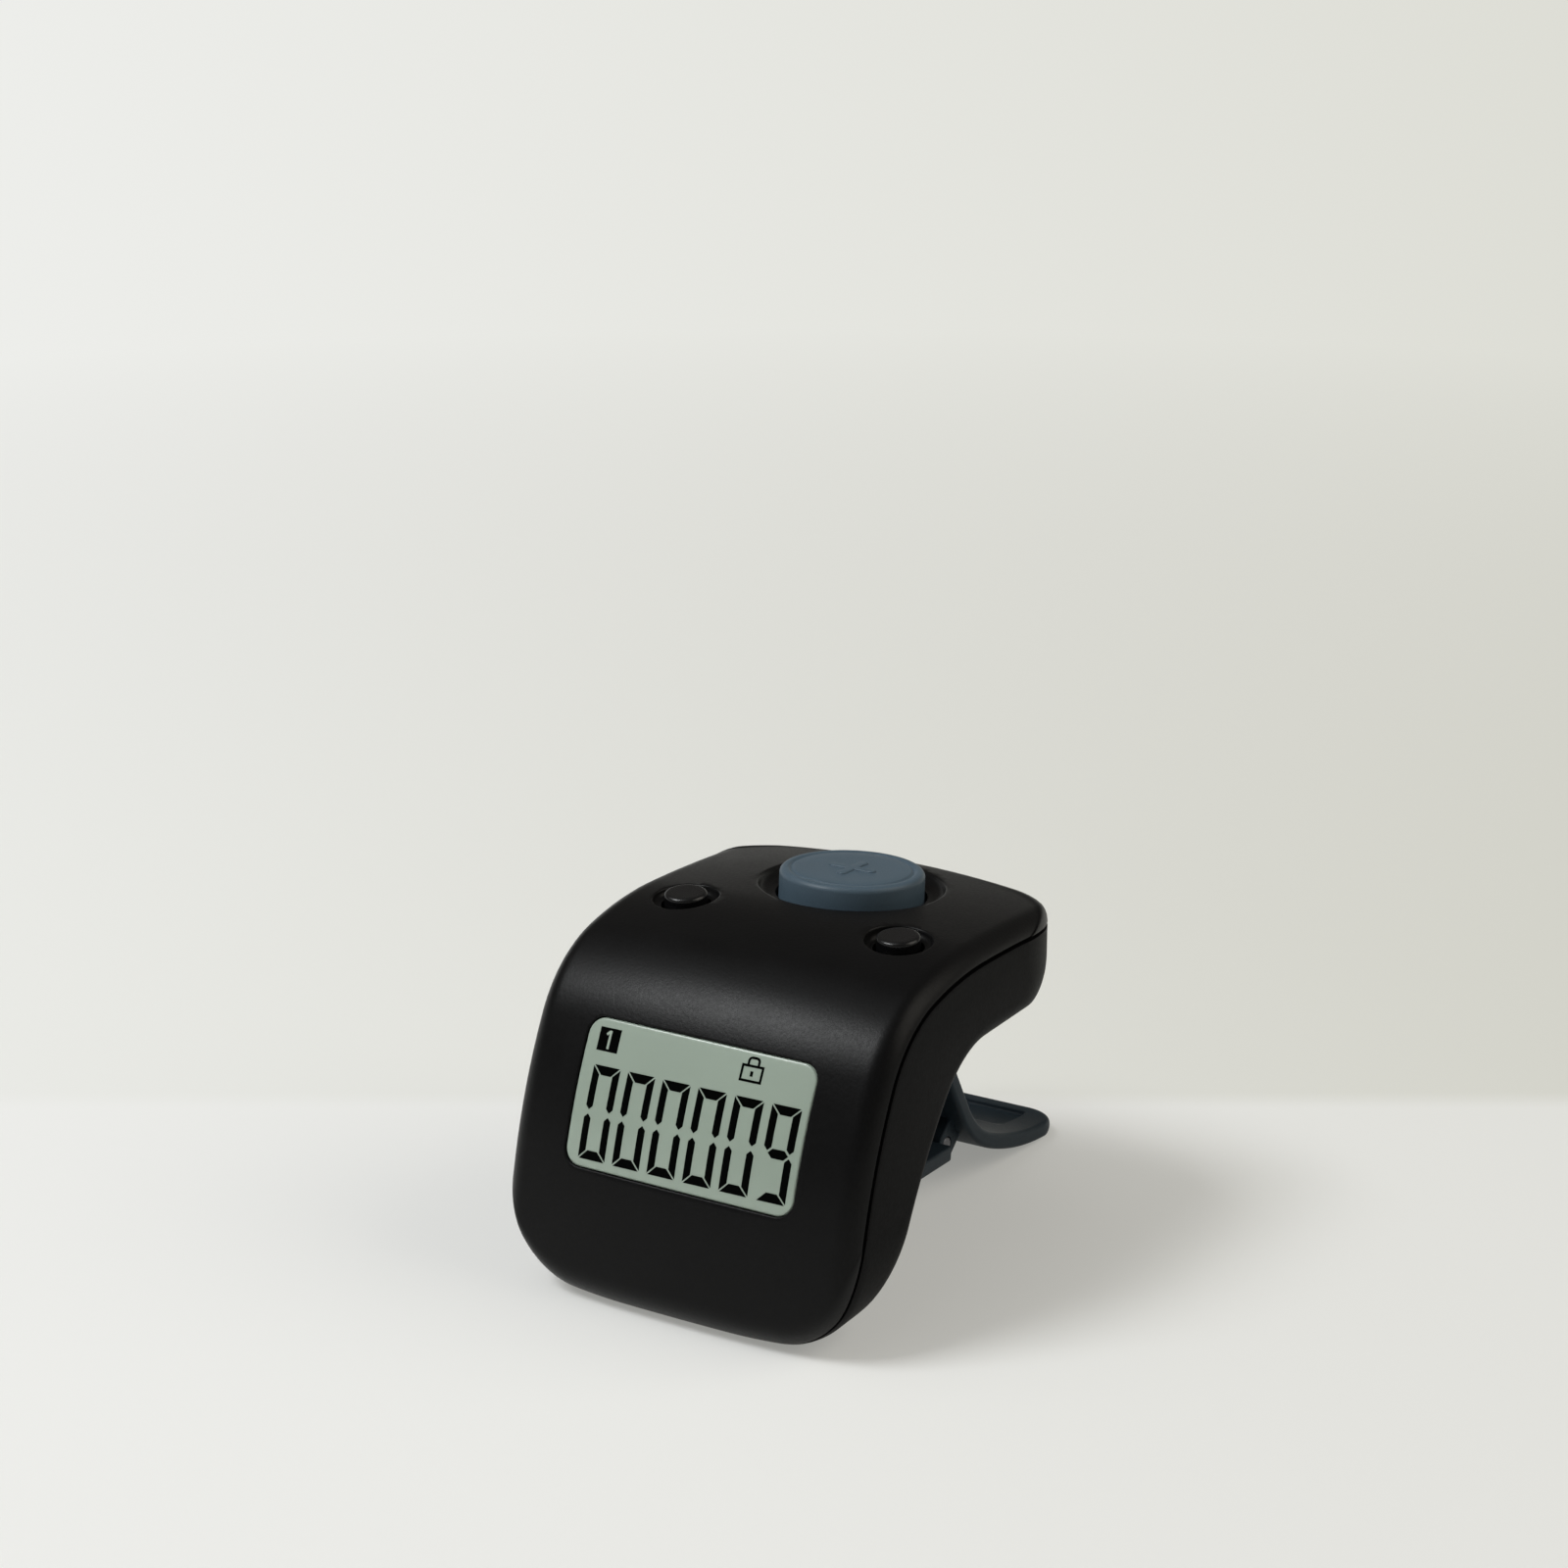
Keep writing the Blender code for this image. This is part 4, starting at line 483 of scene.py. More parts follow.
def body_rings(side, inset, edge):
    """Outline of the body at each place across it, as an array of places by points.

    Each outline is a chain of tangent arcs. A point moves in along its normal by the inset, by the rounding
    of the edge, and by the crown, whose share fades to nothing round the brow and the toe.
    """
    past = np.maximum(np.abs(side) - SOLE_HALF_WIDTH, 0.0)
    foot = past**2 / (2 * FOOT_BOW_RADIUS) + corner_drop(side, FOOT_CORNER_RADIUS, inset) - DISPLAY_HEIGHT
    tail = BODY_REACH - side**2 / (2 * TAIL_BOW_RADIUS) - corner_drop(side, TAIL_CORNER_RADIUS, inset)

    leg_end = LEG_LEAN - BEND_START / LEG_RADIUS
    leg = right_of(LEG_LEAN) * LEG_RADIUS
    bend = leg + right_of(leg_end) * (BEND_RADIUS - LEG_RADIUS)
    shoulder = bend + right_of(BEND_END_SLOPE) * (SHOULDER_RADIUS - BEND_RADIUS)
    top = shoulder + right_of(SHOULDER_END_SLOPE) * (TOP_RADIUS - SHOULDER_RADIUS)
    toe_z = foot + TOE_RADIUS
    toe_y = leg[0] - np.sqrt((LEG_RADIUS - TOE_RADIUS) ** 2 - (toe_z - leg[1]) ** 2)
    toe_heading = np.arctan2(leg[0] - toe_y, toe_z - leg[1])
    brow_y = tail - BROW_RADIUS
    brow_z = top[1] + np.sqrt((TOP_RADIUS - BROW_RADIUS) ** 2 - (brow_y - top[0]) ** 2)
    brow_heading = np.arctan2(top[0] - brow_y, brow_z - top[1])

    calf, calf_heading = calf_arc()
    saddle = np.array([SADDLE_START, underside()]) - right_of(-math.pi) * SADDLE_RADIUS
    heel_z = foot + HEEL_RADIUS
    heel_y = calf[0] - np.sqrt((CALF_RADIUS + HEEL_RADIUS) ** 2 - (heel_z - calf[1]) ** 2)
    heel_heading = np.arctan2(heel_y - calf[0], calf[1] - heel_z)
    toe, brow, heel = (np.stack(pair, -1) for pair in ((toe_y, toe_z), (brow_y, brow_z), (heel_y, heel_z)))
    rear = np.stack([tail - TAIL_RADIUS, tail * 0 + underside() + TAIL_RADIUS], -1)

    # Centre, radius, headings, points, turn to the left, last point kept, and share of the crown at both ends
    chain = (
        (leg, LEG_RADIUS, toe_heading, leg_end, 36, False, False, 1, 1),
        (bend, BEND_RADIUS, leg_end, BEND_END_SLOPE, 40, False, False, 1, 1),
        (shoulder, SHOULDER_RADIUS, BEND_END_SLOPE, SHOULDER_END_SLOPE, 18, False, False, 1, 1),
        (top, TOP_RADIUS, SHOULDER_END_SLOPE, brow_heading, 24, False, False, 1, 1),
        (brow, BROW_RADIUS, brow_heading, -RIGHT_ANGLE, 16, False, True, 1, 0),
        (rear, TAIL_RADIUS, -RIGHT_ANGLE, -math.pi, 16, False, True, 0, 0),
        (saddle, SADDLE_RADIUS, -math.pi, calf_heading, 24, True, False, 0, 0),
        (calf, CALF_RADIUS, calf_heading, heel_heading, 32, True, False, 0, 0),
        (heel, HEEL_RADIUS, heel_heading, -math.pi, 16, False, True, 0, 0),
        (toe, TOE_RADIUS, -math.pi, toe_heading - FULL_TURN, 18, False, False, 0, 1),
    )
    rings = []
    for *bow, first, last in chain:
        points, heading = arc(*bow)
        share = np.linspace(first, last, points.shape[1])
        move = inset + edge[:, None] + share * crown(side)[:, None]
        rings.append(points + right_of(heading) * move[..., None])
    return np.concatenate(rings, axis=1)


def rounded_sides(middle, half, radius, count):
    """Places from left to right of a piece with rounded edges, from those on its right, and their insets.

    Round an edge, the place is the half width less the radius times one less the sine of an angle, and the
    inset is the radius times one less its cosine.
    """
    angle = np.linspace(0.0, RIGHT_ANGLE, count)
    side = np.concatenate([middle, half - radius * (1 - np.sin(angle))])
    edge = np.concatenate([middle * 0, radius * (1 - np.cos(angle))])
    return np.concatenate([-side[:0:-1], side]), np.concatenate([edge[:0:-1], edge])


def body_places(inset, radius):
    """Places across the body, closer together near its sides, with the inset of its rounded edges."""
    half = BODY_WIDTH / 2 - inset
    corner = BODY_WIDTH / 2 - FOOT_CORNER_RADIUS
    middle = np.concatenate([np.linspace(0.0, corner, 13), np.linspace(corner, half - radius, 18)[1:-1]])
    return rounded_sides(middle, half, radius, 13)


# Meshes


def ring_mesh(name, rings, ends):
    """Mesh through an array of rings by points by X, Y and Z.

    Neighbouring points of neighbouring rings make quads, and each ring in ends is closed by one face.
    """
    count, around = rings.shape[:2]
    index = np.arange(count * around).reshape(count, around)
    after = np.roll(index, -1, axis=1)
    quads = np.stack([index[:-1], after[:-1], after[1:], index[1:]], -1).reshape(-1, 4)
    mesh = bpy.data.meshes.new(name)
    caps = [index[end].tolist() for end in ends]
    mesh.from_pydata(rings.reshape(-1, 3).tolist(), [], quads.tolist() + caps)
    return mesh


def added(name, data):
    """New object in the scene."""
    made = bpy.data.objects.new(name, data)
    bpy.context.scene.collection.objects.link(made)
    return made


def skin(name, rings):
    """Closed solid through rings of points. Points that fall together, as at a pole, become one."""
    mesh = ring_mesh(name, np.asarray(rings, dtype=float), (0, -1))
    builder = bmesh.new()
    builder.from_mesh(mesh)
    bmesh.ops.remove_doubles(builder, verts=builder.verts[:], dist=1e-7)
    bmesh.ops.recalc_face_normals(builder, faces=builder.faces[:])
    builder.to_mesh(mesh)
    builder.free()
    return added(name, mesh)


def placed(points, matrix):
    """Points moved from a frame into the world: the turn times each point, plus the origin."""
    matrix = np.array(matrix)
    return points @ matrix[:3, :3].T + matrix[:3, 3]


def swept(name, side, section):
    """Solid of one outline for each place across X, given in the body's own frame."""
    across = np.broadcast_to(side[:, None, None], (*section.shape[:2], 1))
    return skin(name, placed(np.concatenate([across, section], -1), TO_WORLD))


def body_block(name, inset, radius):
    """The whole body as one solid, set in from its outer surface."""
    side, edge = body_places(inset, radius)
    return swept(name, side, body_rings(side, inset, edge))


def extrusion(name, outline, low, high, matrix=TO_WORLD):
    """Solid with one outline in Y and Z, from a low to a high place along X of its frame."""
    outline = np.asarray(outline, dtype=float)
    rings = [np.column_stack([np.full(len(outline), side), outline]) for side in (low, high)]
    return skin(name, placed(np.stack(rings), matrix))


def circle(steps=96):
    """Outline maker of a circle: the cosine and sine of an even angle, times the radius."""
    angle = np.arange(steps) * FULL_TURN / steps
    return lambda radius: radius * np.stack([np.cos(angle), np.sin(angle)], -1)


def rounded_rectangle(width, height, radius, steps=10):
    """Outline maker of a rectangle with rounded corners, grown all round by an offset."""
    angle = np.arange(4)[:, None] * RIGHT_ANGLE + np.linspace(0.0, RIGHT_ANGLE, steps)
    turn = np.stack([np.cos(angle), np.sin(angle)], -1)
    corner = np.array([[1, 1], [-1, 1], [-1, -1], [1, -1]]) * [width / 2 - radius, height / 2 - radius]
    return lambda offset: (corner[:, None, :] + turn * max(radius + offset, 1e-6)).reshape(-1, 2)


def straight_sides(outline, parts):
    """Outline maker with each side cut into parts, so that it can follow a curved surface."""
    share = (np.arange(parts) / parts)[:, None]

    def points(offset):
        """The outline at an offset: each point, then the shares of the way to the next."""
        start = outline(offset)
        return (start[:, None] + (np.roll(start, -1, axis=0) - start)[:, None] * share).reshape(-1, 2)

    return points


def stacked(name, outline, profile, matrix, fall=None):
    """Solid made of one outline, taken again and again up a profile.

    Each profile row gives the outline's offset, a scale about its middle, a height, and how much of the
    surface's own fall is added to that height.
    """
    rings = []
    for offset, scale, height, share in profile:
        flat = outline(offset) * scale
        rise = height + (share * fall(flat[:, 0], flat[:, 1]) if fall else 0.0 * flat[:, 0])
        rings.append(np.column_stack([flat, rise]))
    return skin(name, placed(np.stack(rings), matrix))


def turned(name, profile, matrix, steps=64):
    """Solid of revolution about Z, from rows of radius and height."""
    rows = [(max(radius, 1e-9), 1.0, height, 0.0) for radius, height in profile]
    return stacked(name, circle(steps), rows, matrix)


def quarter(radius, height, size, count):
    """Profile rows round an edge of a turned piece: a quarter circle from its side up to its top."""
    angle = np.linspace(0.0, RIGHT_ANGLE, count)
    return [(radius - size * (1 - math.cos(a)), height - size * (1 - math.sin(a))) for a in angle]


def soft_rows(height, size, count, share=0.0):
    """Rows of a stacked piece round its top edge: a quarter circle from its outline up to a height."""
    return [(offset, 1.0, rise, share) for offset, rise in quarter(0.0, height, size, count)]


def tube(name, path, radius, steps=16):
    """Round wire along a path in the world.

    Across the wire, one direction is X less its part along the wire, and the other is square to both. Each
    ring is a circle in those two directions.
    """
    path = np.asarray(path, dtype=float)
    ahead = np.gradient(path, axis=0)
    ahead /= np.linalg.norm(ahead, axis=1)[:, None]
    first = np.array([1.0, 0.0, 0.0]) - ahead[:, :1] * ahead
    first /= np.linalg.norm(first, axis=1)[:, None]
    second = np.cross(ahead, first)
    angle = (np.arange(steps) * FULL_TURN / steps)[None, :, None]
    around = np.cos(angle) * first[:, None] + np.sin(angle) * second[:, None]
    return skin(name, path[:, None] + radius * around)


def settle(made):
    """Fix an object's modifiers into its mesh."""
    shaped = bpy.data.meshes.new_from_object(made.evaluated_get(bpy.context.evaluated_depsgraph_get()))
    made.modifiers.clear()
    made.data = shaped
    return made


def carve(target, *tools, operation="DIFFERENCE"):
    """Shape a solid with other solids in turn, which are then removed."""
    for tool in tools:
        step = target.modifiers.new("carve", "BOOLEAN")
        step.operation = operation
        step.solver = "MANIFOLD"
        step.object = tool
        settle(target)
        bpy.data.objects.remove(tool)
    return target


def bevel(target, width, segments=3, degrees=25.0):
    """Round the sharp edges of a solid."""
    step = target.modifiers.new("round", "BEVEL")
    step.width = width
    step.segments = segments
    step.limit_method = "ANGLE"
    step.angle_limit = math.radians(degrees)
    return settle(target)


def finish(made, body, slot, material, *nodes, crease=32.0):
    """Turn a mesh into a finished piece that rides on a body and stands for CAD nodes."""
    mesh = made.data
    mesh.materials.clear()
    mesh.materials.append(material)
    mesh.polygons.foreach_set("material_index", np.zeros(len(mesh.polygons), dtype=np.int32))
    mesh.polygons.foreach_set("use_smooth", np.ones(len(mesh.polygons), dtype=bool))
    mesh.set_sharp_from_angle(angle=math.radians(crease))
    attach(made, body)
    if nodes:
        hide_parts(*nodes)
    return made


# Shader maths


def maths(operation, swapped=False):
    """Method that adds a Math node for an operator, with its two sides swapped for the reflected form."""

    def work(self, other):
        first, second = (other, self) if swapped else (self, other)
        return self.graph.add("ShaderNodeMath", {"operation": operation}, {0: first, 1: second})

    return work


class Wire:
    """Output of a shader node that arithmetic can be written on."""

    def __init__(self, graph, socket):
        self.graph = graph
        self.socket = socket

    __add__, __radd__ = maths("ADD"), maths("ADD", True)
    __sub__, __rsub__ = maths("SUBTRACT"), maths("SUBTRACT", True)
    __mul__, __rmul__ = maths("MULTIPLY"), maths("MULTIPLY", True)
    __truediv__, __rtruediv__ = maths("DIVIDE"), maths("DIVIDE", True)


class Graph:
    """Node tree of one material, with one method that adds any node."""

    def __init__(self, name, **constants):
        self.material = bpy.data.materials.new(name)
        self.material.use_nodes = True
        self.tree = self.material.node_tree
        self.surface = self.tree.nodes["Principled BSDF"]
        for key, value in constants.items():
            self.surface.inputs[key.replace("_", " ")].default_value = value

    def feed(self, socket, value):
        """Link or set one input."""
        if isinstance(value, Wire):
            self.tree.links.new(value.socket, socket)
        elif isinstance(value, (tuple, list)) and socket.type == "RGBA":
            socket.default_value = (*value, 1.0) if len(value) == 3 else value
        else:
            socket.default_value = value

    def add(self, kind, settings=None, inputs=None, output=0):
        """Add a node: its settings or a ramp's stops first, then the values or links of its sockets."""
        node = self.tree.nodes.new(kind)
        for key, value in (settings or {}).items():
            if key == "stops":
                stops = node.color_ramp.elements
                while len(stops) < len(value):
                    stops.new(0.5)
                for stop, (place, level) in zip(stops, value):
                    stop.position = place
                    stop.color = (level, level, level, 1.0)
            else:
                setattr(node, key, value)
        for key, value in (inputs or {}).items():
            self.feed(node.inputs[key], value)
        return Wire(self, node.outputs[output])

    def place(self):
        """Object coordinates."""
        return self.add("ShaderNodeTexCoord", output="Object")

    def noise(self, scale, detail=2.0, vector=None):
        """Cloudy pattern with so many cells to a metre."""
        inputs = {"Vector": vector or self.place(), "Scale": scale, "Detail": detail}
        return self.add("ShaderNodeTexNoise", None, inputs, "Fac")

    def ramp(self, value, *stops):
        """Level that follows a value between stops."""
        return self.add("ShaderNodeValToRGB", {"stops": stops}, {"Fac": value}, "Color")

    def mix(self, factor, first, second):
        """Blend of two colours."""
        node = self.tree.nodes.new("ShaderNodeMix")
        node.data_type = "RGBA"
        for socket, value in ((node.inputs[0], factor), (node.inputs[6], first), (node.inputs[7], second)):
            self.feed(socket, value)
        return Wire(self, node.outputs[2])

    def paint(self, **inputs):
        """Set what changes over the surface, such as Base_Color or Roughness, and return the material."""
        for key, value in inputs.items():
            self.feed(self.surface.inputs[key.replace("_", " ")], value)
        return self.material

    def bump(self, height, distance):
        """Normal of a surface that stands out by a height times a distance."""
        return self.add("ShaderNodeBump", None, {"Height": height, "Distance": distance}, "Normal")


def shade(colour, factor):
    """A lighter or darker version of a colour."""
    return tuple(min(channel * factor, 1.0) for channel in colour)


def moulded(name, colour, roughness, grain, height, specular=0.5, spread=0.25):
    """Moulded plastic: fine grain, faint clouds in its colour, pale specks painted in as glints of the grain,
    and a gloss that varies a little.
    """
    graph = Graph(name, Specular_IOR_Level=specular)
    cloud = graph.noise(260.0, 3.0)
    fine = graph.noise(0.8 / grain, 2.0)
    # Painted glints: pale specks in the colour stand in for the grain sparkling in the light
    glint_speck = graph.ramp(graph.noise(1.5 / grain, 1.0), (0.60, 0.0), (0.80, 1.0))
    base = graph.mix(cloud, shade(colour, 1 - spread), shade(colour, 1 + spread))
    return graph.paint(
        Base_Color=graph.mix(glint_speck * 0.35, base, shade(colour, 2.2)),
        Roughness=roughness - 0.09 + cloud * 0.06 + fine * 0.14,
        Normal=graph.bump(fine, height),
    )


def clouded(name, colour, cells, dark, light, roughness, change, **constants):
    """Smooth finish whose tone and gloss drift with faint clouds."""
    graph = Graph(name, **constants)
    cloud = graph.noise(cells)
    return graph.paint(
        Base_Color=graph.mix(cloud, shade(colour, dark), shade(colour, light)),
        Roughness=roughness + cloud * change,
    )


def metal(name, colour, roughness, scale=3000.0):
    """Worked metal: fine streaks in its gloss and its height, with a few duller clouds."""
    graph = Graph(name, Metallic=1.0)
    inputs = {"Vector": graph.place(), "Scale": (0.15, 1.0, 1.0)}
    stretched = graph.add("ShaderNodeMapping", {"vector_type": "POINT"}, inputs)
    streak = graph.noise(scale, 2.0, stretched)
    cloud = graph.noise(500.0)
    return graph.paint(
        Base_Color=graph.mix(cloud, shade(colour, 0.8), shade(colour, 1.1)),
        Roughness=roughness - 0.06 + streak * 0.08 + cloud * 0.08,
        Normal=graph.bump(streak, 0.000004),
    )


def settings():
    """Sizes and colours as the scene has them."""
    return bpy.context.scene.counter_sizes, bpy.context.scene.counter_colours


# Casing


def case_screw_places():
    """Frame of each case screw, with Z out of the shell it draws in, and the depth of the body there."""
    height = LEG_SCREW_HEIGHT - DISPLAY_HEIGHT
    slope = math.asin((height + LEG_RADIUS * math.cos(LEG_LEAN)) / LEG_RADIUS)
    front = LEG_RADIUS * (math.sin(LEG_LEAN) - math.cos(slope))
    calf = calf_arc()[0]
    back = calf[0] - math.sqrt(CALF_RADIUS**2 - (height - calf[1]) ** 2)
    start, heading = front_curve(front_breaks()[2])
    centre = start + right_of(heading) * TOP_RADIUS
    top = centre[1] + math.sqrt(TOP_RADIUS**2 - (HEAD_SCREW_PLACE - centre[0]) ** 2)
    places = []
    for side in (-LEG_SCREW_SPACING, LEG_SCREW_SPACING):
        places.append((level_frame(side, front, height) @ Matrix.Rotation(RIGHT_ANGLE, 4, "X"), back - front))
    for side in (-HEAD_SCREW_SPACING, HEAD_SCREW_SPACING):
        places.append((level_frame(side, HEAD_SCREW_PLACE, top), top - underside()))
    return places


def front_band(name, depth):
    """Everything above a depth under the outer curve, wider and longer than the body."""
    start = -DISPLAY_HEIGHT - CUT_OVERRUN
    stops = (start, *front_breaks(), BODY_REACH + 3 * CUT_OVERRUN)
    distances = [np.linspace(low, high, 40) for low, high in zip(stops, stops[1:])]
    distances = np.unique(np.concatenate(distances))
    curve = [front_curve(distance) for distance in distances]
    inner = [point + right_of(heading) * depth for point, heading in curve]
    outer = [point - right_of(heading) * 3 * MM for point, heading in curve]
    reach = BODY_WIDTH / 2 + 2 * MM
    return extrusion(name, inner + outer[::-1], -reach, reach)


def key_fall(side, radius):
    """Fall of the outer surface over a key's own frame.

    Up the curve it is the radius less the root of the radius squared less the distance squared, and across it
    is the crown at that side less the crown at the key.
    """
    return lambda across, up: np.sqrt(radius**2 - up**2) - radius - crown(side + across) + crown(side)


def display_fall(across, up):
    """Fall of the outer surface over the display: the leg's arc, the sharper bend above it, and the crown."""
    past = np.maximum(up - BEND_START, 0.0)
    sharper = past**2 / 2 * (1 / BEND_RADIUS - 1 / LEG_RADIUS)
    return np.sqrt(LEG_RADIUS**2 - up**2) - LEG_RADIUS - sharper - crown(across)


def rim_rows(edge, round_radius, floor=0.0):
    """Profile rows of a rounded rim: a circle from a steep wall to a low slope, and on out at that slope."""
    angle = np.radians(np.linspace(floor, RIM_DEGREES, 7))
    rows = [(edge + round_radius * (1 - math.cos(a)), -round_radius * (1 - math.sin(a))) for a in angle]
    slope = math.tan(math.radians(90.0 - RIM_DEGREES))
    reach, height = rows[-1]
    return rows + [(reach + round_radius / 2, height + round_radius / 2 * slope)]


def well_tool(key_radius, rim_radius, depth, place, side, curve_radius, rim_round):
    """Cutter of a dished well: the key's hole, a bowl whose wall is a quarter ellipse, and a rounded rim."""
    hole = key_radius + SLIDE_GAP
    floor = hole + (rim_radius - hole) * BOWL_START
    rows = [(hole, 1.0, -CUT_DEPTH, 0.0), (hole, 1.0, -depth, 0.0)]
    for angle in np.linspace(0.0, BOWL_TURN, 14):
        share = 1 - math.cos(angle)
        rows.append((floor + (rim_radius - floor) * math.sin(angle), 1.0, -depth * math.cos(angle), share))
    for radius, height in rim_rows(rim_radius, rim_round, 10.0):
        rows.append((radius, 1.0, height, 1.0))
    rows.append((rows[-1][0], 1.0, CUT_OVERRUN, 0.0))
    return stacked("well", circle(128), rows, surface_frame(place, side), key_fall(side, curve_radius))


def window_tool(rim_round):
    """Cutter of the display's opening, with a small rounding along its rim."""
    outline = rounded_rectangle(WINDOW_WIDTH, WINDOW_HEIGHT, WINDOW_CORNER)
    rows = [(0.0, 1.0, -CUT_DEPTH, 0.0)]
    rows += [(offset, 1.0, height, 1.0) for offset, height in rim_rows(0.0, rim_round)]
    rows.append((rows[-1][0], 1.0, CUT_OVERRUN, 0.0))
    return stacked("window", straight_sides(outline, 12), rows, surface_frame(0.0), display_fall)


def rod(name, radius, low, high, matrix, steps=64):
    """Plain cylinder between two heights along Z."""
    return turned(name, [(radius, low), (radius, high)], matrix, steps)


def slab(name, width, height, low, high, matrix, centre=(0.0, 0.0), corner=1e-5):
    """Plate with a rounded rectangular outline between two heights along Z."""
    outline = rounded_rectangle(width, height, corner, 8)
    place = matrix @ Matrix.Translation((*centre, 0.0))
    return stacked(name, outline, [(0.0, 1.0, low, 0.0), (0.0, 1.0, high, 0.0)], place)


def screw_seat(depth):
    """Depth of a case screw's seat under the front surface, and the length of its shank."""
    seat = depth - SCREW_HEAD_HEIGHT - SCREW_SINK
    return seat, seat - WALL - SCREW_TIP_DEPTH


class COUNTER_OT_shells(bpy.types.Operator):
    """Build the two black shells: the body's block, split along its own outer curve and hollowed"""

    bl_idname = "counter.shells"
    bl_label = "Shells"

    def execute(self, context):
        sizes, colours = settings()
        grain = (sizes.grain, sizes.grain_height)
        self.front(sizes, moulded("front_plastic", colours.shell, 0.35, *grain, 0.13))
        self.rear(moulded("rear_plastic", colours.shell, 0.45, *grain, 0.03))
        return {"FINISHED"}

    def front(self, sizes, plastic):
        """Outer shell: a crowned plate with the display landing, the bosses and the wells."""
        display = surface_frame(0.0)
        sides = (-SIDE_SPACING, SIDE_SPACING)

        def pads():
            """Landing and bosses, made afresh for each cut."""
            width = WINDOW_WIDTH + 2 * LANDING_MARGIN
            height = WINDOW_HEIGHT + 2 * LANDING_MARGIN
            made = [slab("landing", width, height, -LANDING_DEPTH, CUT_OVERRUN, display)]
            for place, _ in case_screw_places():
                made.append(rod("boss", BOSS_RADIUS, -BOSS_MEET_DEPTH, CUT_OVERRUN, place))
            return made

        count_low = -COUNT_WELL_DEPTH - COUNT_WELL_FLOOR
        side_low = -SIDE_WELL_DEPTH - SIDE_WELL_FLOOR
        keys = [(COUNT_WELL_RADIUS + WALL, count_low, surface_frame(COUNT_PLACE))]
        keys += [(SIDE_WELL_RADIUS + WALL / 2, side_low, surface_frame(SIDE_PLACE, side)) for side in sides]
        collars = [rod("collar", radius, low, CUT_OVERRUN, place) for radius, low, place in keys]

        region = carve(front_band("region", PART_DEPTH), *pads(), operation="UNION")
        hollow = carve(body_block("hollow", WALL, INNER_EDGE_RADIUS), *pads(), *collars)
        shell = carve(body_block("front_shell", 0.0, EDGE_RADIUS), region, operation="INTERSECT")
        carve(shell, hollow, window_tool(sizes.rim_round * 0.5))
        well = (COUNT_RADIUS, COUNT_WELL_RADIUS, COUNT_WELL_DEPTH, COUNT_PLACE, 0.0, TOP_RADIUS)
        carve(shell, well_tool(*well, sizes.rim_round))
        for side in sides:
            well = (SIDE_RADIUS, SIDE_WELL_RADIUS, SIDE_WELL_DEPTH, SIDE_PLACE, side, SHOULDER_RADIUS)
            carve(shell, well_tool(*well, sizes.rim_round * 0.8))
        for place, depth in case_screw_places():
            seat, shank = screw_seat(depth)
            ends = (-BOSS_MEET_DEPTH - MM, shank + SLIDE_GAP - seat)
            carve(shell, rod("pilot", SCREW_RADIUS + SCREW_GAP, *ends, place, 24))
        finish(shell, "casing", "black_plastic", plastic, "front_cover")

    def rear(self, plastic):
        """Inner shell: the deep tub with the finger saddle, the cell pocket and the screw bosses."""
        parting = front_band("parting", PART_DEPTH + PART_GAP)
        shell = carve(body_block("rear_shell", 0.0, EDGE_RADIUS), parting)
        hollow = body_block("hollow", WALL, INNER_EDGE_RADIUS)
        for place, depth in case_screw_places():
            carve(hollow, rod("boss", BOSS_RADIUS, -depth - CUT_OVERRUN, -BOSS_MEET_DEPTH - SLIDE_GAP, place))

        cell = level_frame(0.0, CELL_PLACE, cell_top())
        door = level_frame(DOOR_OFFSET, CELL_PLACE, underside())
        door_screw = level_frame(DOOR_SCREW_PLACE, CELL_PLACE, underside())
        pocket = CELL_RADIUS + CELL_GAP
        top = CONTACT_THICKNESS + SEAT_GAP
        low = underside() - cell_top() - 2 * MM
        boss_high = cell_top() + top - underside()
        carve(hollow, rod("tower", pocket + POCKET_WALL, low, top, cell))
        carve(hollow, rod("door_boss", DOOR_BOSS_RADIUS, -2 * MM, boss_high, door_screw))
        carve(shell, hollow, rod("bore", pocket, low, top + MM, cell))

        fit = 2 * CELL_GAP
        recess_high = DOOR_THICKNESS + SEAT_GAP
        pilot_high = DOOR_SCREW_LENGTH + SLIDE_GAP
        corner = DOOR_CORNER + CELL_GAP
        carve(
            shell,
            slab("recess", DOOR_WIDTH + fit, DOOR_LENGTH + fit, -2 * MM, recess_high, door, corner=corner),
            slab(
                "slot", 2 * TONGUE_LENGTH + fit, TONGUE_WIDTH + fit, DOOR_THICKNESS / 2 - SEAT_GAP,
                recess_high, door, (-DOOR_WIDTH / 2, 0.0),
            ),
            rod("door_pilot", SCREW_RADIUS + SCREW_GAP, -2 * MM, pilot_high, door_screw, 24),
        )
        for place, depth in case_screw_places():
            seat = screw_seat(depth)[0]
            head = SCREW_HEAD_RADIUS + SLIDE_GAP
            clear = SCREW_RADIUS + SCREW_GAP
            profile = [(head, -depth - 2 * MM), (head, -seat), (clear, -seat), (clear, MM - BOSS_MEET_DEPTH)]
            carve(shell, turned("clear", profile, place, 48))
        finish(shell, "casing", "black_plastic", plastic, "rear_cover")


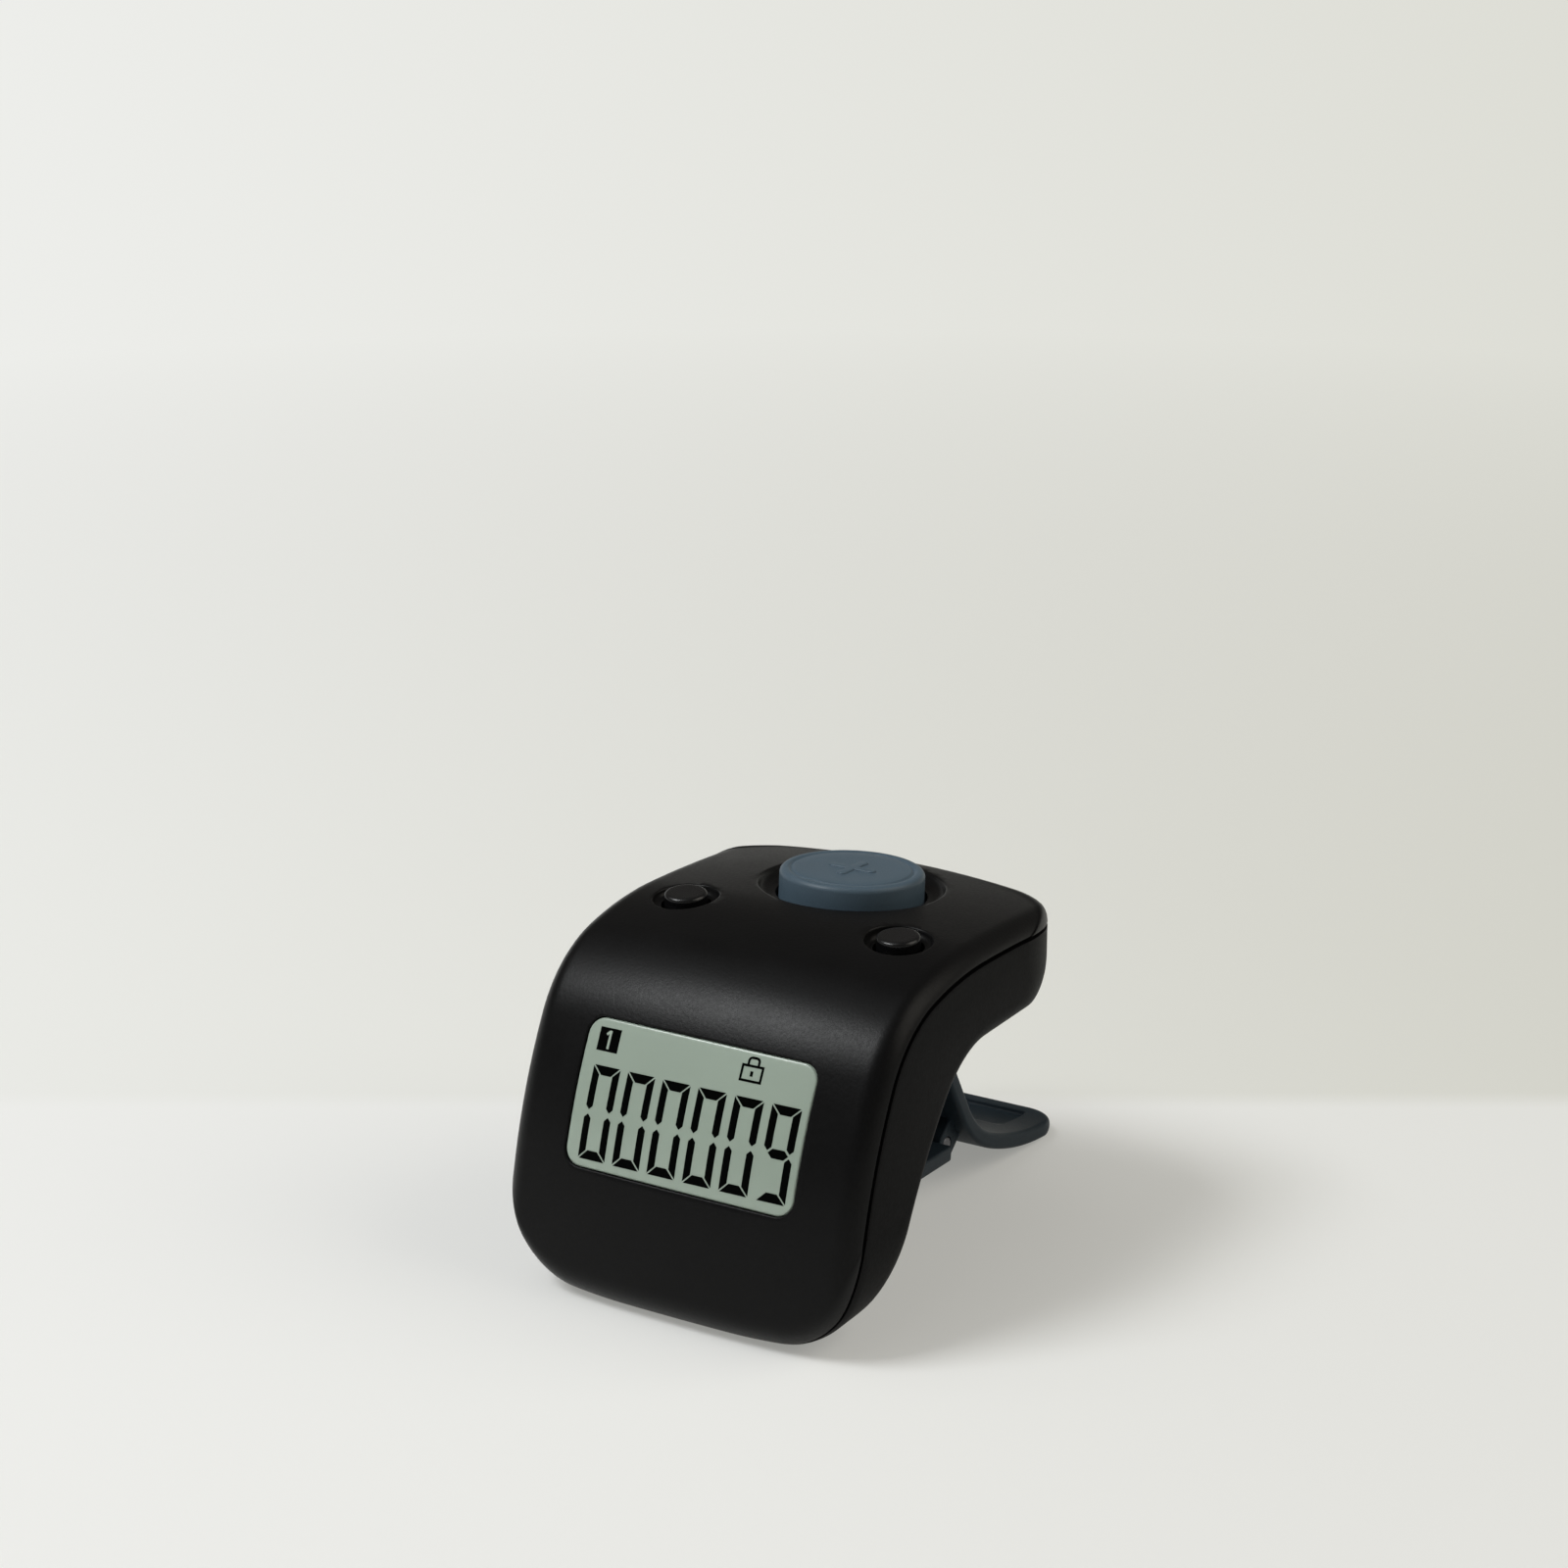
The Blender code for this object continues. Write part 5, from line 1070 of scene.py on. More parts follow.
class COUNTER_OT_door(bpy.types.Operator):
    """Build the battery door with its tongue, its sunk screw hole and its grip grooves"""

    bl_idname = "counter.door"
    bl_label = "Battery door"

    def execute(self, context):
        sizes, colours = settings()
        plastic = moulded("door_plastic", colours.shell, 0.45, sizes.grain, sizes.grain_height, 0.03)
        door = level_frame(DOOR_OFFSET, CELL_PLACE, underside())
        outline = rounded_rectangle(DOOR_WIDTH, DOOR_LENGTH, DOOR_CORNER)
        rows = [(offset, 1.0, -height, 0.0) for offset, _, height, _ in soft_rows(0.0, DOOR_EDGE, 5)[::-1]]
        rows.append((0.0, 1.0, DOOR_THICKNESS, 0.0))
        plate = stacked("door", outline, rows, door)
        tongue = (2 * TONGUE_LENGTH, TONGUE_WIDTH, DOOR_THICKNESS / 2, DOOR_THICKNESS)
        carve(plate, slab("tongue", *tongue, door, (-DOOR_WIDTH / 2, 0.0)), operation="UNION")
        for index in range(GRIP_COUNT):
            place = (GRIP_PLACE + index * GRIP_PITCH - DOOR_WIDTH / 2, 0.0)
            carve(plate, slab("groove", GRIP_WIDTH, GRIP_LENGTH, -MM, GRIP_DEPTH, door, place, GRIP_CORNER))
        clear = SCREW_RADIUS + SCREW_GAP
        sink = [
            (SCREW_HEAD_RADIUS + SCREW_GAP + MM, -MM),
            (SCREW_HEAD_RADIUS + SCREW_GAP, 0.0),
            (clear, DOOR_SCREW_SEAT),
            (clear, 2 * DOOR_THICKNESS),
        ]
        carve(plate, turned("sink", sink, level_frame(DOOR_SCREW_PLACE, CELL_PLACE, underside()), 48))
        finish(plate, "casing", "black_plastic", plastic, "battery_door")
        return {"FINISHED"}


# Keys


def key_solid(name, radius, rise, edge, depth, floor, matrix, ring=0.0):
    """Turned key: a flange under the shell, a straight side, a rounded top edge and a ring groove.

    The groove's depth follows a half cosine across it.
    """
    flange_top = -depth - floor - FLANGE_GAP
    flange_low = flange_top - FLANGE_THICKNESS
    profile = [
        (0.0, flange_low),
        (radius + KEY_LIP, flange_low),
        (radius + KEY_LIP, flange_top),
        (radius, flange_top),
    ]
    profile += quarter(radius, rise, edge, 10)
    if ring:
        for step in np.linspace(1.0, -1.0, 13):
            sink = COUNT_RING_DEPTH / 2 * (1 + math.cos(math.pi * step))
            profile.append((ring + COUNT_RING_WIDTH / 2 * step, rise - sink))
    top = profile[-1][0]
    profile += [(top * share, rise) for share in (0.8, 0.6, 0.4, 0.2)] + [(0.0, rise)]
    return turned(name, profile, matrix, 128)


class COUNTER_OT_keys(bpy.types.Operator):
    """Build the count button with its ring and raised plus, and the two small buttons"""

    bl_idname = "counter.keys"
    bl_label = "Keys"

    def execute(self, context):
        sizes, colours = settings()
        slate = moulded("key_plastic", colours.slate, 0.46, 0.10 * MM, 0.008 * MM, 0.3, 0.12)
        matrix = surface_frame(COUNT_PLACE)
        button = key_solid(
            "count_key_cap", COUNT_RADIUS, COUNT_RISE, COUNT_EDGE, COUNT_WELL_DEPTH, COUNT_WELL_FLOOR, matrix,
            COUNT_RING_RADIUS,
        )
        bars = []
        for length, width in ((sizes.motif, MOTIF_WIDTH), (MOTIF_WIDTH, sizes.motif)):
            rows = [(0.0, 1.0, COUNT_RISE - MOTIF_SINK, 0.0)]
            rows += soft_rows(COUNT_RISE + MOTIF_RISE, MOTIF_RISE, 5)
            bars.append(stacked("bar", rounded_rectangle(length, width, MOTIF_CORNER, 8), rows, matrix))
        carve(button, *bars, operation="UNION")
        finish(button, "count_key", "slate_plastic", slate, "count_button")

        gloss = moulded("small_key_plastic", colours.key, 0.28, 0.10 * MM, 0.004 * MM, 0.35, 0.15)
        for name, side in (("left", -SIDE_SPACING), ("right", SIDE_SPACING)):
            cap = key_solid(
                f"{name}_key_cap", SIDE_RADIUS, SIDE_RISE, SIDE_EDGE, SIDE_WELL_DEPTH, SIDE_WELL_FLOOR,
                surface_frame(SIDE_PLACE, side),
            )
            finish(cap, f"{name}_key", "black_gloss", gloss, f"{name}_button")
        return {"FINISHED"}


# Display

# The bars that show each digit from 0 to 9: a to f clockwise from the top, and g across the middle
DIGIT_BARS = (
    "abcdef", "bc", "abged", "abgcd", "fgbc", "afgcd", "afgedc", "abc", "abcdefg", "abcdfg"
)

# The figure 1 in its box, in millimetres from the box's middle: path, width, and height in coats of ink
BOX_STROKES = (
    (((-0.32, 0.42), (0.0, 0.72)), 0.2, 2.2),
    (((0.04, 0.78), (0.04, -0.78)), 0.23, 2.0),
)


def plate(path, left, right, lift=INK):
    """Thin raised plate along a flat path, as rings of four points.

    At each place the left and right edges stand off the path by their own distances, the top is the
    display's surface plus the lift, and the bottom lies a little under it.
    """
    path = np.asarray(path, dtype=float)
    path = np.stack([path[:, 0], path[:, 1] + path[:, 0] * MARK_RISE], -1)
    ahead = np.gradient(path, axis=0)
    ahead /= np.linalg.norm(ahead, axis=1)[:, None]
    across = np.stack([ahead[:, 1], -ahead[:, 0]], -1)
    edges = [path - across * np.asarray(left)[:, None], path + across * np.asarray(right)[:, None]]
    corners = []
    for flat, raised in ((edges[0], -INK), (edges[0], lift), (edges[1], lift), (edges[1], -INK)):
        height = display_fall(flat[:, 0], flat[:, 1]) - LENS_SINK + raised
        corners.append(np.column_stack([flat, height]))
    return placed(np.stack(corners, axis=1), surface_frame(0.0))


def bar(start, end, half, near, far):
    """One bar of a digit between two points.

    near and far say where its ends come to their tip: on the middle line, or on the left or right edge,
    where the end is a cut at 45 degrees.
    """
    start = np.asarray(start, dtype=float)
    end = np.asarray(end, dtype=float)
    length = np.linalg.norm(end - start)
    cuts = [half, 2 * half, length - half, length - 2 * half]
    along_bar = np.unique(np.concatenate([np.linspace(0, length, 11), cuts]))
    path = start + (end - start) * (along_bar / length)[:, None]
    widths = []
    for name in ("left", "right"):
        width = np.full(len(along_bar), half)
        for tip, distance in ((near, along_bar), (far, length - along_bar)):
            if tip == "middle":
                width = np.minimum(width, distance)
            elif tip != name:
                width = np.minimum(width, distance - half)
        widths.append(width + 1e-6)
    return plate(path, *widths)


def digit_bars(value, centre, sizes):
    """The lit bars of one digit, from a to f clockwise from the top, and g across the middle."""
    half = sizes.digit_stroke / 2
    level = sizes.digit_bar / 2
    gap = DIGIT_GAP
    across = sizes.digit_width / 2
    up = sizes.digit_height / 2
    x, y = centre
    left, right = x - across + half, x + across - half
    top, low = y + up - level, y - up + level
    bars = {
        "a": ((x - across + gap, top), (x + across - gap, top), level, "left", "left"),
        "b": ((right, y + up - gap), (right, y + 2 * gap), half, "left", "middle"),
        "c": ((right, y - 2 * gap), (right, y - up + gap), half, "middle", "left"),
        "d": ((x + across - gap, low), (x - across + gap, low), level, "left", "left"),
        "e": ((left, y - up + gap), (left, y - 2 * gap), half, "left", "middle"),
        "f": ((left, y + 2 * gap), (left, y + up - gap), half, "middle", "left"),
        "g": ((x - across + half + gap, y), (x + across - half - gap, y), level, "middle", "middle"),
    }
    return [bar(*bars[key]) for key in bars if key in DIGIT_BARS[value]]


def stroke(points, width, lift=INK, parts=6):
    """Line of even width along a path of points."""
    points = np.asarray(points, dtype=float)
    steps = np.linspace(0, len(points) - 1, (len(points) - 1) * parts + 1)
    path = np.stack([np.interp(steps, np.arange(len(points)), points[:, axis]) for axis in (0, 1)], -1)
    half = np.full(len(path), width / 2)
    return plate(path, half, half, lift)


def plates_object(name, plates):
    """One object of many separate plates."""
    parts = [skin(name, rings) for rings in plates]
    builder = bmesh.new()
    for part in parts:
        builder.from_mesh(part.data)
    mesh = bpy.data.meshes.new(name)
    builder.to_mesh(mesh)
    builder.free()
    for part in parts:
        bpy.data.objects.remove(part)
    return added(name, mesh)


class COUNTER_OT_display(bpy.types.Operator):
    """Build the display: the curved grey-green face, its digits, the number box and the lock sign"""

    bl_idname = "counter.display"
    bl_label = "Display"

    def execute(self, context):
        sizes, colours = settings()
        self.face(colours)
        plates = []
        for index, figure in enumerate(f"{sizes.reading:0{DIGIT_COUNT}d}"):
            across = (index - (DIGIT_COUNT - 1) / 2) * DIGIT_PITCH + DIGIT_SHIFT
            plates += digit_bars(int(figure), (across, DIGIT_BASE), sizes)
        box = np.array(BOX_PLACE)
        half = np.array([BOX_WIDTH / 2, 0.0])
        plates.append(stroke([box - half, box + half], BOX_HEIGHT, parts=12))
        plates += self.lock(np.array(LOCK_PLACE))
        ink = clouded("display_ink", colours.digit, 9000.0, 0.8, 1.3, 0.30, 0.06, Specular_IOR_Level=0.01)
        finish(plates_object("display_digits", plates), "casing", "display_lens", ink, crease=60.0)

        pale = clouded("display_pale", colours.display, 700.0, 1.0, 1.25, 0.30, 0.06)
        number = [
            stroke(box + np.array(path) * MM, width * MM, coats * INK) for path, width, coats in BOX_STROKES
        ]
        finish(plates_object("display_number", number), "casing", "display_lens", pale, crease=60.0)
        return {"FINISHED"}

    def face(self, colours):
        """The curved face: a bevelled plate that follows the shell, with a flange behind it."""
        gap = WINDOW_GAP / 3
        outline = rounded_rectangle(WINDOW_WIDTH - 2 * gap, WINDOW_HEIGHT - 2 * gap, WINDOW_CORNER - gap)
        back = LANDING_DEPTH + SEAT_GAP
        low = -back - LENS_FLANGE_THICKNESS
        grow = LENS_FLANGE + gap
        rows = [(grow, 1e-6, low, 0.0), (grow, 1.0, low, 0.0)]
        rows += [(grow, 1.0, -back, 0.0), (0.0, 1.0, -back, 0.0)]
        rows += soft_rows(-LENS_SINK, FACE_EDGE, 7, 1.0)
        for share in (0.97, 0.9, 0.8, 0.65, 0.5, 0.35, 0.2, 0.1, 1e-6):
            rows.append((-FACE_EDGE, share, -LENS_SINK, 1.0))
        face = stacked("display_face", straight_sides(outline, 8), rows, surface_frame(0.0), display_fall)

        light = colours.display
        graph = Graph("display_glass", Specular_IOR_Level=0.5, Coat_Weight=0.3, Coat_Roughness=0.08)
        cloud = graph.noise(140.0, 1.0)
        fine = graph.noise(5200.0, 2.0)
        tone = graph.mix(cloud, shade(light, 0.94), shade(light, 1.06))
        material = graph.paint(
            Base_Color=graph.mix(fine * 0.25, tone, shade(light, 1.12)),
            Roughness=0.27 + fine * 0.06,
            Normal=graph.bump(fine, 0.000001),
        )
        finish(face, "casing", "display_lens", material, "lcd_window", crease=40.0)

    def lock(self, centre):
        """The lock sign: a box, a shackle over it and a keyhole."""
        line = 0.21 * MM
        wide, high = 0.94 * MM, 0.62 * MM
        corners = np.array([[-wide, -high], [wide, -high], [wide, high], [-wide, high]])
        strokes = []
        for first, last in zip(corners, np.roll(corners, -1, axis=0)):
            reach = (last - first) / np.linalg.norm(last - first) * line / 2
            strokes.append(stroke([centre + first - reach, centre + last + reach], line))
        bow, bend, rise = 0.48 * MM, 0.3 * MM, 0.38 * MM
        angle = np.linspace(math.pi, 0.0, 14)
        side = np.sign(np.cos(angle)) * (bow - bend)
        arch = np.stack([side + np.cos(angle) * bend, high + rise + np.sin(angle) * bend], -1)
        shackle = np.concatenate([[[-bow, high]], arch, [[bow, high]]])
        strokes.append(stroke(centre + shackle, line, parts=1))
        keyhole = np.array([[0.0, 0.2], [0.0, -0.24]]) * MM
        strokes.append(stroke(centre + keyhole, 0.26 * MM, parts=2))
        return strokes


# Clip


def clip_line():
    """Centres of the tab's arc and of the curl's arc, and the point and heading where the strip starts."""
    tip = np.array([CLIP_REACH, CLIP_THICKNESS / 2 - DISPLAY_HEIGHT])
    tab_centre = tip + right_of(math.pi) * TAB_RADIUS
    curl_centre = tab_centre + right_of(math.pi - TAB_TURN) * (CURL_RADIUS - TAB_RADIUS)
    heading = math.pi - TAB_TURN - CURL_TURN
    return tab_centre, curl_centre, curl_centre - right_of(heading) * CURL_RADIUS, heading


def hinge_point():
    """Where the pin's axis crosses the section, off the outer side of the curl."""
    heading = math.pi - TAB_TURN - HINGE_TURN
    return clip_line()[1] - right_of(heading) * (CURL_RADIUS + HINGE_STAND_OFF)


def hinge_frame():
    """Frame on the pin's axis, with Z to the counter's right."""
    return level_frame(0.0, *hinge_point()) @ Matrix.Rotation(RIGHT_ANGLE, 4, "Y")


def root_point():
    """Where the arm's centre line meets the back of the leg, and the way out of the leg there."""
    centre = calf_arc()[0]
    start = hinge_point()
    ahead = along(math.pi - ARM_SLOPE)
    offset = start - centre
    half = offset @ ahead
    point = start + ahead * (-half + math.sqrt(half * half - offset @ offset + CALF_RADIUS**2))
    inward = centre - point
    return point, math.atan2(inward[1], inward[0])


def clip_rings(side, edge):
    """Outline of the clip at each place across it.

    The spine is offset to both sides by half the thickness less the edge's rounding, and both ends are half
    circles. At the tab's end the spine starts later near the sides, by the radius of the plan corner less
    the root of that radius squared less the side's excess squared.
    """
    tab_centre, curl_centre, end, end_heading = clip_line()
    half = (CLIP_THICKNESS / 2 - edge)[:, None, None]
    past = np.maximum(np.abs(side) - (CLIP_WIDTH / 2 - CLIP_CORNER), 0.0)
    short = CLIP_CORNER - np.sqrt(np.maximum(CLIP_CORNER**2 - past**2, 0.0))
    first = math.pi - (CLIP_THICKNESS / 2 + short) / TAB_RADIUS
    turn = np.full(len(side), math.pi - TAB_TURN)
    tab, tab_headings = arc(tab_centre, TAB_RADIUS, first, turn, 32)
    curl, curl_headings = arc(curl_centre, CURL_RADIUS, turn, end_heading, 32)
    reach = np.linspace(0.0, STRIP_LENGTH - CLIP_THICKNESS / 2, 12)[:, None]
    strip = np.tile(end + along(end_heading) * reach, (len(side), 1, 1))
    spine = np.concatenate([tab, curl, strip], axis=1)
    headings = np.concatenate([tab_headings, curl_headings, np.full(strip.shape[:2], end_heading)], axis=1)
    upper = spine + right_of(headings) * half
    lower = (spine - right_of(headings) * half)[:, ::-1]

    angle = np.linspace(RIGHT_ANGLE, -RIGHT_ANGLE, 13)[1:-1]

    def nose(centre, heading):
        """Half circle about a centre, from its right side round to its left."""
        ahead = along(heading)[:, None] * np.cos(angle)[:, None]
        right = right_of(heading)[:, None] * np.sin(angle)[:, None]
        return centre[:, None] + half * (ahead + right)

    top_end = nose(spine[:, -1], headings[:, -1])
    tip_end = nose(spine[:, 0], headings[:, 0] + math.pi)
    return np.concatenate([upper, top_end, lower, tip_end], axis=1)


def eye_outline(radius, length, half, turn):
    """Outline of an eye: an arc about the pin that spans a turn, then straight to a distance along Y."""
    angle = math.pi + np.linspace(-turn / 2, turn / 2, 40)
    arc_points = radius * np.stack([np.cos(angle), np.sin(angle)], -1)
    return np.concatenate([arc_points, [(length, -half), (length, half)]])


def pin_tool(name):
    """Running bore for the pin, through every eye."""
    return rod(name, PIN_RADIUS + PIN_GAP, -CLIP_WIDTH, CLIP_WIDTH, hinge_frame(), 48)


class COUNTER_OT_clip(bpy.types.Operator):
    """Build the clip lever, its bracket, the hinge pin and the torsion spring"""

    bl_idname = "counter.clip"
    bl_label = "Clip"

    def execute(self, context):
        # Painted shade: the clip and bracket take the button's slate darkened to about a quarter, as for
        # parts lying in the body's shadow
        shaded_slate = shade(settings()[1].slate, 0.26)
        slate = moulded("clip_plastic_painted_shade", shaded_slate, 0.48, 0.12 * MM, 0.010 * MM, 0.1, 0.12)
        steel = metal("spring_steel", (0.14, 0.14, 0.15), 0.38)
        self.lever(slate)
        self.bracket(slate)
        half = KNUCKLE_INNER + KNUCKLE_WIDTH + SLIDE_GAP + LUG_WIDTH
        end = quarter(PIN_RADIUS, half, PIN_EDGE, 5)
        profile = [(0.0, -half)] + [(radius, -height) for radius, height in end[::-1]] + end + [(0.0, half)]
        finish(turned("hinge_pin", profile, hinge_frame()), "casing", "steel", steel, "clip_pin")
        finish(self.spring(), "casing", "steel", steel, "clip_spring", crease=60.0)
        return {"FINISHED"}

    def lever(self, slate):
        """Strip, curl and thumb tab in one moulding, with two lugs for the pin and a shallow thumb recess."""
        half = CLIP_WIDTH / 2
        corner = half - CLIP_CORNER
        bend = (CLIP_CORNER - CLIP_EDGE) * np.sin(np.linspace(0.0, RIGHT_ANGLE, 9))[1:-1]
        middle = np.concatenate([np.linspace(0.0, corner, 8), corner + bend])
        side, edge = rounded_sides(middle, half, CLIP_EDGE, 9)
        lever = swept("clip_moulding", side, clip_rings(side, edge))

        hinge = hinge_point()
        heading = math.pi - TAB_TURN - HINGE_TURN - RIGHT_ANGLE
        lugs = []
        for sign in (-1, 1):
            middle = sign * (KNUCKLE_INNER + KNUCKLE_WIDTH + SLIDE_GAP + LUG_WIDTH / 2)
            outline = eye_outline(KNUCKLE_RADIUS, HINGE_STAND_OFF, KNUCKLE_RADIUS, math.pi)
            place = section_frame(hinge, heading, middle)
            lugs.append(bevel(extrusion("lug", outline, -LUG_WIDTH / 2, LUG_WIDTH / 2, place), LUG_EDGE))
        carve(lever, *lugs, operation="UNION")

        tilt = TAB_TURN / 5
        place = section_frame(np.array([CLIP_REACH, CLIP_THICKNESS - DISPLAY_HEIGHT]), -tilt)
        middle = -THUMB_INSET - THUMB_LENGTH / 2
        place = place @ Matrix.Translation((0.0, middle, 0.0))
        inner = TAB_RADIUS - CLIP_THICKNESS / 2

        def fall(across, up):
            """Height of the tab's hollow top: a slope, and the distance squared over twice the radius."""
            back = up + middle
            return back * math.tan(tilt) + back**2 / (2 * inner)

        shape = straight_sides(rounded_rectangle(THUMB_WIDTH, THUMB_LENGTH, THUMB_CORNER), 6)
        soft = THUMB_EDGE
        rows = [(-soft, share, -THUMB_DEPTH, 1.0) for share in (1e-6, 0.3, 0.6, 0.85)]
        for a in np.linspace(0.0, math.radians(80.0), 7):
            rows.append((-soft * (1 - math.sin(a)), 1.0, -THUMB_DEPTH + soft * (1 - math.cos(a)), 1.0))
        rows += [(offset, 1.0, height, 1.0) for offset, height in rim_rows(0.0, THUMB_RIM, 15.0)]
        rows.append((rows[-1][0], 1.0, 3 * MM, 0.0))
        carve(lever, pin_tool("lever_bore"), stacked("thumb", shape, rows, place, fall))
        finish(lever, "lever", "slate_plastic", slate, "clip_lever", crease=40.0)

    def bracket(self, slate):
        """Arm from the back of the leg to the hinge: a root pad, a flat arm and two knuckles."""
        hinge = hinge_point()
        root, out = root_point()
        away = along(out)
        lift = -right_of(out)
        arm = along(-ARM_SLOPE)
        above = -right_of(-ARM_SLOPE) * ARM_THICKNESS / 2
        arm_end = hinge - arm * (KNUCKLE_RADIUS + SLIDE_GAP)
        pad = root + away * ROOT_GAP
        neck = pad + away * ROOT_DEPTH + arm * (ROOT_HEIGHT / 2)
        up = lift * ROOT_HEIGHT / 2
        knee = away * ROOT_DEPTH * ROOT_KNEE
        top, low = pad + up + knee, pad - up + knee
        outline = [pad - up, pad + up, top, neck + above, arm_end + above, arm_end - above, neck - above, low]
        bracket = extrusion("bracket_moulding", outline, -CLIP_WIDTH / 2, CLIP_WIDTH / 2)
        bevel(bracket, ARM_EDGE, 4, 20.0)
        length = KNUCKLE_RADIUS + SLIDE_GAP + ARM_EDGE + EYE_OVERLAP
        half = ARM_THICKNESS / 2 - EYE_STEP
        knuckles = []
        for sign in (-1, 1):
            middle = sign * (KNUCKLE_INNER + KNUCKLE_WIDTH / 2)
            outline = eye_outline(KNUCKLE_RADIUS, length, half, KNUCKLE_TURN)
            place = section_frame(hinge, math.pi - ARM_SLOPE, middle)
            knuckles.append(extrusion("knuckle", outline, -KNUCKLE_WIDTH / 2, KNUCKLE_WIDTH / 2, place))
        carve(bracket, *knuckles, operation="UNION")
        carve(bracket, pin_tool("knuckle_bore"))
        for side in (-ROOT_SCREW_SPACING, ROOT_SCREW_SPACING):
            place = section_frame(root, out, side) @ Matrix.Rotation(-RIGHT_ANGLE, 4, "X")
            deep = ROOT_SCREW_LENGTH - WALL + SLIDE_GAP
            carve(bracket, rod("pilot", SCREW_RADIUS + SCREW_GAP, -MM, deep, place, 24))
        finish(bracket, "casing", "slate_plastic", slate, "clip_bracket", crease=30.0)

    def spring(self):
        """Torsion spring: a helix about the pin with two straight arms that leave it along its tangents."""
        coil = PIN_RADIUS + SEAT_GAP + WIRE_RADIUS + PIN_GAP
        hinge = hinge_point()
        to_centre = clip_line()[0] - hinge
        distance = np.linalg.norm(to_centre)
        clear = TAB_RADIUS + CLIP_THICKNESS / 2 + WIRE_RADIUS + 2 * SEAT_GAP
        opening = math.acos(min((clear - coil) / distance, 1.0))
        leave = math.atan2(to_centre[1], to_centre[0]) - RIGHT_ANGLE + opening
        enter = -ARM_SLOPE
        turns = FULL_TURN * SPRING_TURNS
        angle = np.linspace(enter - RIGHT_ANGLE, leave - RIGHT_ANGLE + turns, 48 * SPRING_TURNS)
        length = SPRING_PITCH * SPRING_TURNS
        helix = hinge + coil * along(angle)
        side = np.linspace(-length / 2, length / 2, len(angle))
        run = np.linspace(1.0, 0.0, 12)[:-1, None]
        reach = distance * math.sin(opening) + SPRING_OVERRUN
        enter_arm = helix[0] - along(enter) * SPRING_ARM * run
        leave_arm = helix[-1] + along(leave) * reach * run[::-1]
        section = np.concatenate([enter_arm, helix, leave_arm])
        across = np.concatenate([run[:, 0] * 0 + side[0], side, run[:, 0] * 0 + side[-1]])
        return tube("torsion_spring", placed(np.column_stack([across, section]), TO_WORLD), WIRE_RADIUS)


# Fasteners


def cross_tools(head, matrix, depth):
    """Two tapered slots at right angles for a screw's cross recess."""
    tools = []
    long, short = head * CROSS_LENGTH, head * CROSS_WIDTH
    for width, height in ((long, short), (short, long)):
        outline = rounded_rectangle(width, height, head * 0.06, 4)
        rows = [(0.0, 1.0, -MM, 0.0), (0.0, 1.0, 0.0, 0.0), (-head * 0.05, 0.55, depth, 0.0)]
        tools.append(stacked("cross", outline, rows, matrix))
    return tools


def threaded(length, start):
    """Profile rows of a shank: a saw-tooth of threads from under the head to a blunt tip."""
    rows = [(SCREW_RADIUS * 0.86, start)]
    for place in np.arange(start + THREAD_PITCH, length - SCREW_TIP - THREAD_PITCH / 2, THREAD_PITCH):
        low, high = place - THREAD_PITCH * 0.35, place + THREAD_PITCH * 0.2
        rows += [(SCREW_CORE, low), (SCREW_RADIUS, place), (SCREW_CORE, high)]
    return rows + [(SCREW_CORE, length - SCREW_TIP), (SCREW_RADIUS / 2, length), (0.0, length)]


class COUNTER_OT_screws(bpy.types.Operator):
    """Build the four case screws and the door screw, with cross recesses and threads"""

    bl_idname = "counter.screws"
    bl_label = "Screws"

    def execute(self, context):
        steel = metal("screw_steel", (0.30, 0.30, 0.31), 0.32)
        head = SCREW_HEAD_HEIGHT
        dome = [
            (SCREW_HEAD_RADIUS * math.sin(a), -head * (SCREW_HEAD_SIDE + (1 - SCREW_HEAD_SIDE) * math.cos(a)))
            for a in np.linspace(0.0, RIGHT_ANGLE, 9)
        ]
        dome += [(SCREW_HEAD_RADIUS, -0.02 * MM), (SCREW_NECK, 0.0)]
        for number, (place, depth) in enumerate(case_screw_places(), 1):
            seat, shank = screw_seat(depth)
            matrix = place @ Matrix.Translation((0.0, 0.0, -seat - SEAT_GAP))
            screw = turned(f"case_screw_{number}_steel", dome + threaded(shank, 0.1 * MM), matrix, 40)
            cross = matrix @ Matrix.Translation((0.0, 0.0, -head * 0.98))
            carve(screw, *cross_tools(SCREW_HEAD_RADIUS, cross, CROSS_DEPTH))
            finish(screw, "casing", "steel", steel, f"case_screw_{number}", crease=40.0)

        matrix = level_frame(DOOR_SCREW_PLACE, CELL_PLACE, underside())
        level = DOOR_SCREW_SINK
        rim = SCREW_HEAD_RADIUS - SCREW_GAP
        sunk = [
            (0.0, level),
            (rim - DOOR_SCREW_RIM, level),
            (rim, level + 0.06 * MM),
            (SCREW_NECK, DOOR_SCREW_SEAT + level),
        ]
        screw = turned("door_screw_steel", sunk + threaded(DOOR_SCREW_LENGTH, 0.9 * MM), matrix, 40)
        cross = matrix @ Matrix.Translation((0.0, 0.0, level))
        carve(screw, *cross_tools(SCREW_HEAD_RADIUS * 0.9, cross, DOOR_CROSS_DEPTH))
        finish(screw, "casing", "steel", steel, "door_screw", crease=40.0)
        return {"FINISHED"}


# Pieces inside


